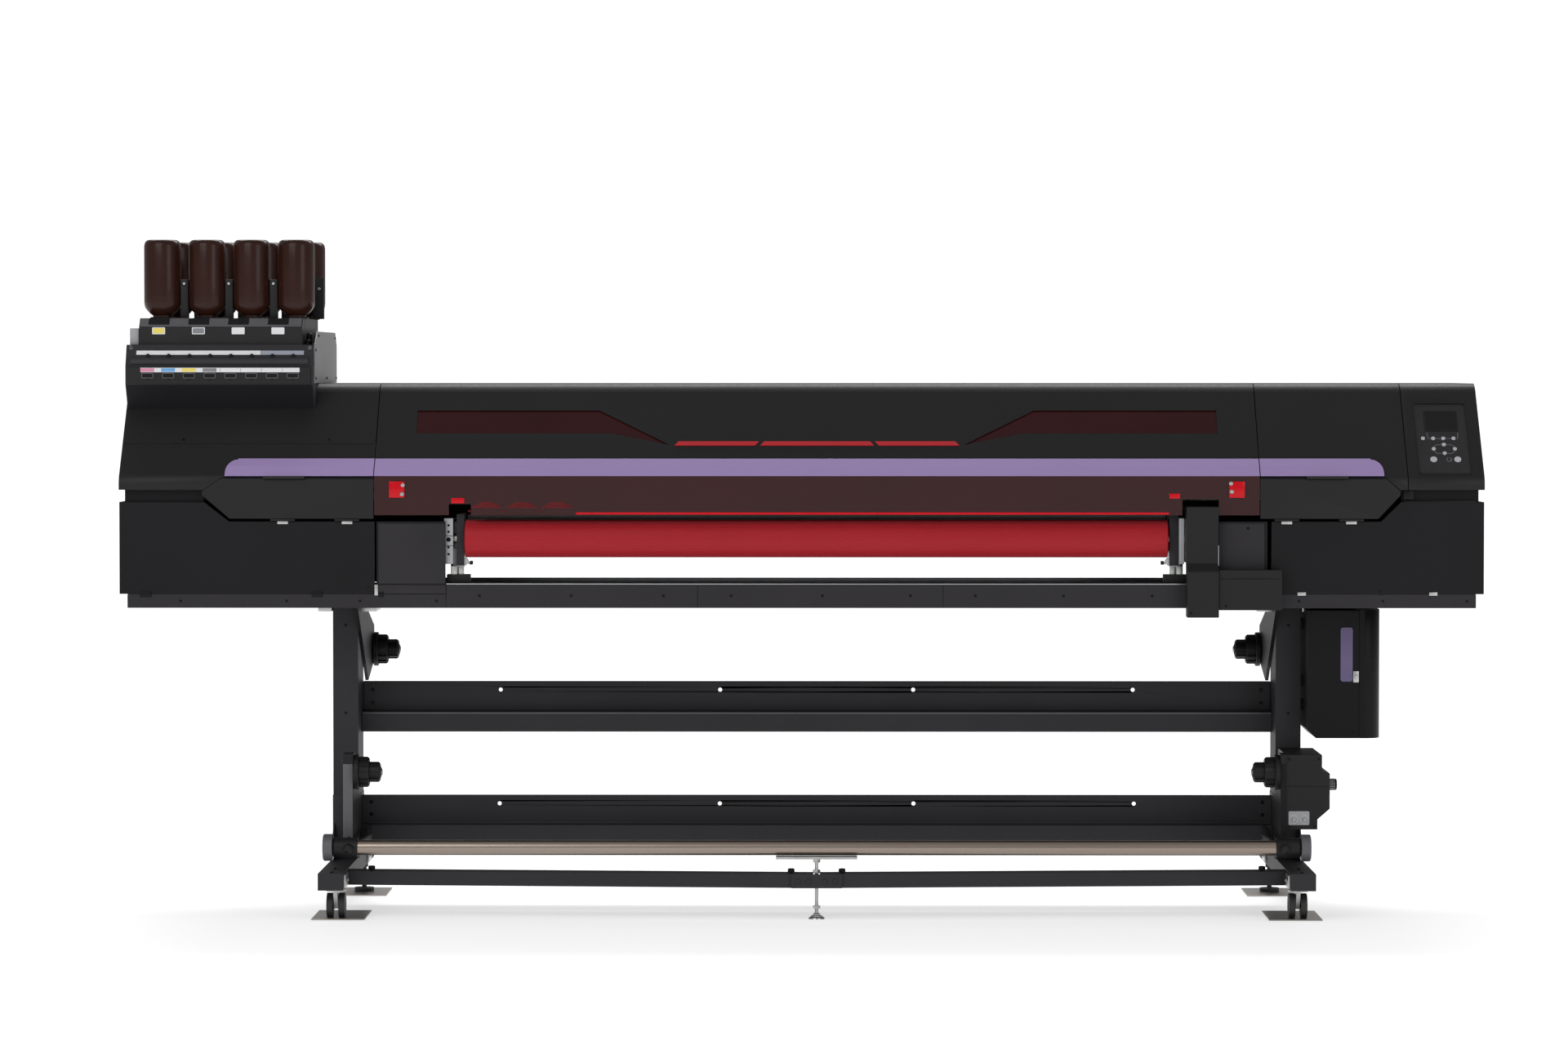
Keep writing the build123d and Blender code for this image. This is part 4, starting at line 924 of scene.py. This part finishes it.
finish(["reel_supports"], station_coat, 1.2)
for name, inner in (("feed_flange_left", rightward), ("feed_flange_right", leftward),
                    ("takeup_flange_left", rightward), ("takeup_flange_right", leftward)):
    low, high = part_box(name)
    base = (low + high) / 2
    base.x = (low.x if inner.x > 0 else high.x) + inner.x * 22 * mm
    hub = bmesh.new()
    turn(hub, base, inner, [(-22, 0), (-22, 9), (-21, 10), (0, 10), (0, 42), (1.5, 43.5),
                            (10.5, 43.5), (12, 42), (12, 34), (34, 34), (37, 32), (37, 22.5),
                            (61, 22.5), (64, 20), (64, 14), (66, 13), (66, 0)], 40)
    for start, length, reach, foot, count in ((12, 25, 37.5, 33, 12), (37, 27, 25, 22, 8)):
        for i in range(count):
            t = math.tau * i / count
            outward = Vector((0, math.cos(t), math.sin(t)))
            across = Vector((0, -math.sin(t), math.cos(t)))
            ring = [base + inner * d * mm + outward * r * mm
                    for d, r in ((start, foot), (start, reach), (start + length - 5, reach),
                                 (start + length, reach - 3.5), (start + length, foot))]
            half = across * 1.6 * mm
            plate(hub, [p - half for p in ring], [p + half for p in ring])
    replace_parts(piece(f"{name}_hub", hub, nylon, name), name)
    tip = bmesh.new()
    turn(tip, base, inner, [(64, 0), (64, 9), (67, 9), (69, 7), (69, 3.5), (67, 3), (67, 0)], 24)
    piece(f"{name}_tip", tip, bright_steel, name)

caps = bmesh.new()
for x0, x1 in ((-1164.5, -1137.5), (1137.5, 1152.5)):
    bar(caps, (x0, -302, 372), (x1, -238, 396), 2)
for x in (-1148, 1145):
    screw(caps, spot(x, -300, 190), front, 3.6)
piece("upright_caps", caps, nylon)
# A paler coat covers the take-up upright's front face.
faces = bmesh.new()
bar(faces, (-1163, -300.7, 182), (-1139, -299, 371.5), 0.4)
piece("upright_face", faces, pale_coat_and_highlight)

# ---- Take-up drive ----
# A moulded box on the right upright holds the motor, with two toggles on a grey plate and a
# knob for the torque.

finish(["takeup_housing"], abs_cover, 2.0)
finish(["torque_knob"], nylon, 0.6)
finish(["winding_switch", "direction_switch"], zinc, 0.3)
backing = bmesh.new()
house_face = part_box("takeup_housing")[0].y / mm
upright(backing, rounded(1158, 1209, 222, 256, 3), house_face - 1.2, house_face + 0.4)
piece("switch_plate", backing, pale)
collar = bmesh.new()
for x in (1170, 1197):
    turn(collar, spot(x, house_face - 1.2, 236), front,
         [(0, 11), (0.7, 11), (0.7, 9.6), (0, 9.6), (0, 11)], 24)
piece("toggle_collars", collar, zinc, sharp=20)
house_lines = bmesh.new()
bar(house_lines, (1153, house_face - 0.5, 316), (1256, house_face + 0.6, 317.6), 0.2)
for x, z in ((1160, 384), (1232, 384), (1160, 218), (1222, 218)):
    screw(house_lines, spot(x, house_face, z), front, 3)
piece("housing_seam_and_screws", house_lines, black_oxide)
knob_low, knob_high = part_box("torque_knob")
grip = bmesh.new()
knob_mid = (knob_low + knob_high) / 2
knob_mid.x = knob_low.x
knob_r = (knob_high.z - knob_low.z) / 2 / mm
for i in range(20):
    t = math.tau * i / 20
    outward = Vector((0, math.cos(t), math.sin(t)))
    across = Vector((0, -math.sin(t), math.cos(t))) * 0.9 * mm
    ring = [knob_mid + rightward * d * mm + outward * r * mm
            for d, r in ((20, knob_r - 1), (20, knob_r + 0.5), (37, knob_r + 0.5),
                         (37, knob_r - 1))]
    plate(grip, [p - across for p in ring], [p + across for p in ring])
piece("torque_knob_grip", grip, pale, "torque_knob")

# ---- Tension bar ----
# A drawn steel tube lies in the web's loop. Flat arms carry it from the lower beam, with black
# sleeves, a ball knob to lift it by and a turned weight at each end.

weight_r = 33
tube_r = 18.5
ball_r = 12.5
sleeve_end = 1178
bar_y = post_y
bar_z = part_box("tension_bar")[1].z / mm - weight_r
tube = bmesh.new()
turn(tube, spot(-sleeve_end, bar_y, bar_z), rightward,
     [(0, 0), (0, tube_r), (2 * sleeve_end, tube_r), (2 * sleeve_end, 0)], 40)
# Drawn steel tube: warm, with fine lines along it.
drawn_steel = surface("drawn_steel", "#8f8278", "#a89b90", 0.001, 0.00002, {"Metallic": 1.0},
                      0.1, (0.24, 0.36), (0.03, 1, 1))
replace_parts(piece("tension_tube", tube, drawn_steel, "tension_bar"), "tension_bar")
fittings = bmesh.new()
weights = bmesh.new()
pivot_y, pivot_z = -100, 168
arm = [(bar_y, bar_z - 15), (pivot_y, pivot_z - 15), (pivot_y + 10.6, pivot_z - 10.6),
       (pivot_y + 15, pivot_z), (pivot_y + 10.6, pivot_z + 10.6), (pivot_y, pivot_z + 15),
       (bar_y, bar_z + 15)]
arc = [math.pi * i / 12 for i in range(1, 12)]
ball = [(-ball_r * math.cos(t), ball_r * math.sin(t)) for t in arc]
ball = [(-ball_r, 0), *ball, (ball_r, 0)]
for side in (-1, 1):
    out = Vector((side, 0, 0))
    turn(fittings, spot(side * 1119, bar_y, bar_z), out,
         [(0, 0), (0, 23), (1.5, 24.5), (57, 24.5), (59, 23), (59, 0)], 36)
    turn(fittings, spot(side * 1140, bar_y - 30.5, bar_z), front, ball, 24)
    turn(fittings, spot(side * 1140, bar_y - 18, bar_z), front,
         [(0, 0), (0, 6), (8, 5), (8, 0)], 20)
    plate(fittings, *[[spot(x, y, z) for y, z in arm]
                      for x in sorted((side * 1108, side * 1116))])
    turn(weights, spot(side * (sleeve_end + 2), bar_y, bar_z), out,
         [(0, 0), (0, weight_r - 1.5), (1.5, weight_r), (21, weight_r), (23.5, 30.5), (23.5, 12),
          (22, 10), (22, 0)], 48)
piece("tension_fittings", fittings, nylon, "tension_bar")
piece("tension_weights", weights, slip_grey, "tension_bar")

# ---- Waste ink housing ----
# A vacuum-formed box hangs beside the right leg, with a level window and a rounded door.

# Vacuum-formed sheet: black, with a smooth sheen.
black_sheet = surface("black_abs_sheet", "#09090a", "#0e0e0f", 0.0012, 0.00006,
                      {"Specular IOR Level": 0.15}, 0.3, (0.32, 0.42))
finish(["waste_tank"], black_sheet, 2.0)
finish(["waste_door"], black_sheet, 1.2)
tank_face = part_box("waste_tank")[0].y / mm
gauge = bmesh.new()
upright(gauge, rounded(1299, 1329, 566, 700, 6), tank_face - 1.0, tank_face + 0.5)
lilac = acrylic("lilac_acrylic", "#6d6188", "#7a6e96", 0.3, 0.2)
piece("level_window", gauge, lilac)
latch = bmesh.new()
bar(latch, (1330, tank_face - 5, 564), (1344, tank_face + 0.5, 592), 1.5)
turn(latch, spot(1337, tank_face - 5, 578), front, [(0, 0), (0, 5), (4, 5), (5, 4), (5, 0)], 20)
piece("door_latch", latch, zinc)
mounts = bmesh.new()
for z in (702, 560, 500):
    bar(mounts, (1211, -40, z - 12), (1215.5, 60, z + 12), 0.8)
for z in (440, 735):
    for x in (1228, 1332):
        screw(mounts, spot(x, tank_face, z), front, 3)
piece("housing_brackets", mounts, black_oxide)
seams = bmesh.new()
door_r = 39.7
arc = [math.radians(-90 + 15 * i) for i in range(7)]
outline = [(1346, -149.5), (1364, -149.5),
           *[(1359 + door_r * math.cos(t), -110 + door_r * math.sin(t)) for t in arc],
           (1398.7, 59), (1346, 99)]
outline = [(x + 0.25, y - 0.35 if y < 0 else y) for x, y in outline]
for z in (618, 525):
    plate(seams, *[[spot(x, y, level) for x, y in outline] for level in (z - 0.8, z + 0.8)])
piece("door_seams", seams, nylon, "waste_door")

# ---- Back of the machine ----
# The flat back has two louvred vent panels, an inlet for the mains cord, and two rows of screws
# through the cover into the frame.

rear_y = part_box("rear_cover")[1].y / mm
vents = bmesh.new()
for x in (-1300, 1330):
    for z in range(1050, 1179, 16):
        bar(vents, (x - 90, rear_y - 1, z), (x + 90, rear_y + 1.5, z + 7), 0.5)
piece("rear_vents", vents, nylon)
rear_screws = bmesh.new()
for x in (left_end + 30, -1350, -1060, -700, -350, 0, 350, 700, 1060, 1350, right_end - 30):
    for z in (905, 1240):
        screw(rear_screws, spot(x, rear_y, z), back, 3.6)
piece("rear_screws", rear_screws, black_oxide)
inlet = bmesh.new()
bar(inlet, (1480, rear_y - 2, 880), (1530, rear_y + 2, 912), 1)
for x in (1496, 1514):
    bar(inlet, (x - 1.5, rear_y + 1, 892), (x + 1.5, rear_y + 2.6, 902), 0.3)
piece("mains_inlet", inlet, nylon)

# ---- Floor, light and camera ----
# A wide white floor, lit a little from within so that it stays white out to the horizon, under
# three large soft lights and an even sky.

floor_paint = surface("pale_floor_paint", "#e9e9ea", "#eeeeef", 0.02, 0.00001,
                      {"Emission Color": (1, 1, 1, 1), "Emission Strength": 0.5}, 1.5, (0.6, 0.7))
far_paint = surface("far_floor_paint", "#e9e9ea", "#eeeeef", 0.02, 0.00001,
                    {"Emission Color": (1, 1, 1, 1), "Emission Strength": 0.8}, 1.5, (0.6, 0.7))
near_r, far_r = 4500, 60000
for name, inner, outer, paint in (("floor", 0, near_r, floor_paint),
                                  ("far_floor", near_r, far_r, far_paint)):
    disc = bmesh.new()
    turn(disc, Vector((0, 0, -0.8 * mm)), above, [(0, inner), (0, outer)], 64)
    shown(name, disc, paint)

world = bpy.data.worlds.new("studio")
bpy.context.scene.world = world
world.use_nodes = True
sky = world.node_tree.nodes["Background"]
sky.inputs["Color"].default_value = (1, 1, 1, 1)
seen = add(world.node_tree, "ShaderNodeLightPath", {})
level = add(world.node_tree, "ShaderNodeMapRange", {"To Min": 0.4, "To Max": 1.1},
            {"Value": seen.outputs["Is Camera Ray"]})
world.node_tree.links.new(level.outputs["Result"], sky.inputs["Strength"])


def soft_light(name, place, aim, size, power):
    """A large soft box, pointed at a place."""
    lamp = bpy.data.lights.new(name, "AREA")
    lamp.shape = "RECTANGLE"
    lamp.size, lamp.size_y = size
    lamp.energy = power
    made = bpy.data.objects.new(name, lamp)
    bpy.context.scene.collection.objects.link(made)
    made.location = place
    made.rotation_euler = (Vector(aim) - Vector(place)).to_track_quat("-Z", "Y").to_euler()


soft_light("key_light", (-3.0, -5.0, 4.0), (0, 0, 0.9), (4.0, 3.0), 105)
soft_light("fill_light", (4.0, -5.0, 3.0), (0, 0, 0.9), (3.0, 3.0), 60)
soft_light("back_light", (0, 2.9, 4.5), (0, 0, 1.2), (6.0, 1.2), 170)

lens = bpy.data.cameras.new("camera")
lens.lens = 119.06
lens.sensor_width = 36
lens.clip_end = 100
camera = bpy.data.objects.new("camera", lens)
bpy.context.scene.collection.objects.link(camera)
camera.location = (middle, -13.0, 1.345)
camera.rotation_euler = (math.radians(88.286), 0, math.radians(0.361))
bpy.context.scene.camera = camera
bpy.context.scene.view_settings.view_transform = "Standard"
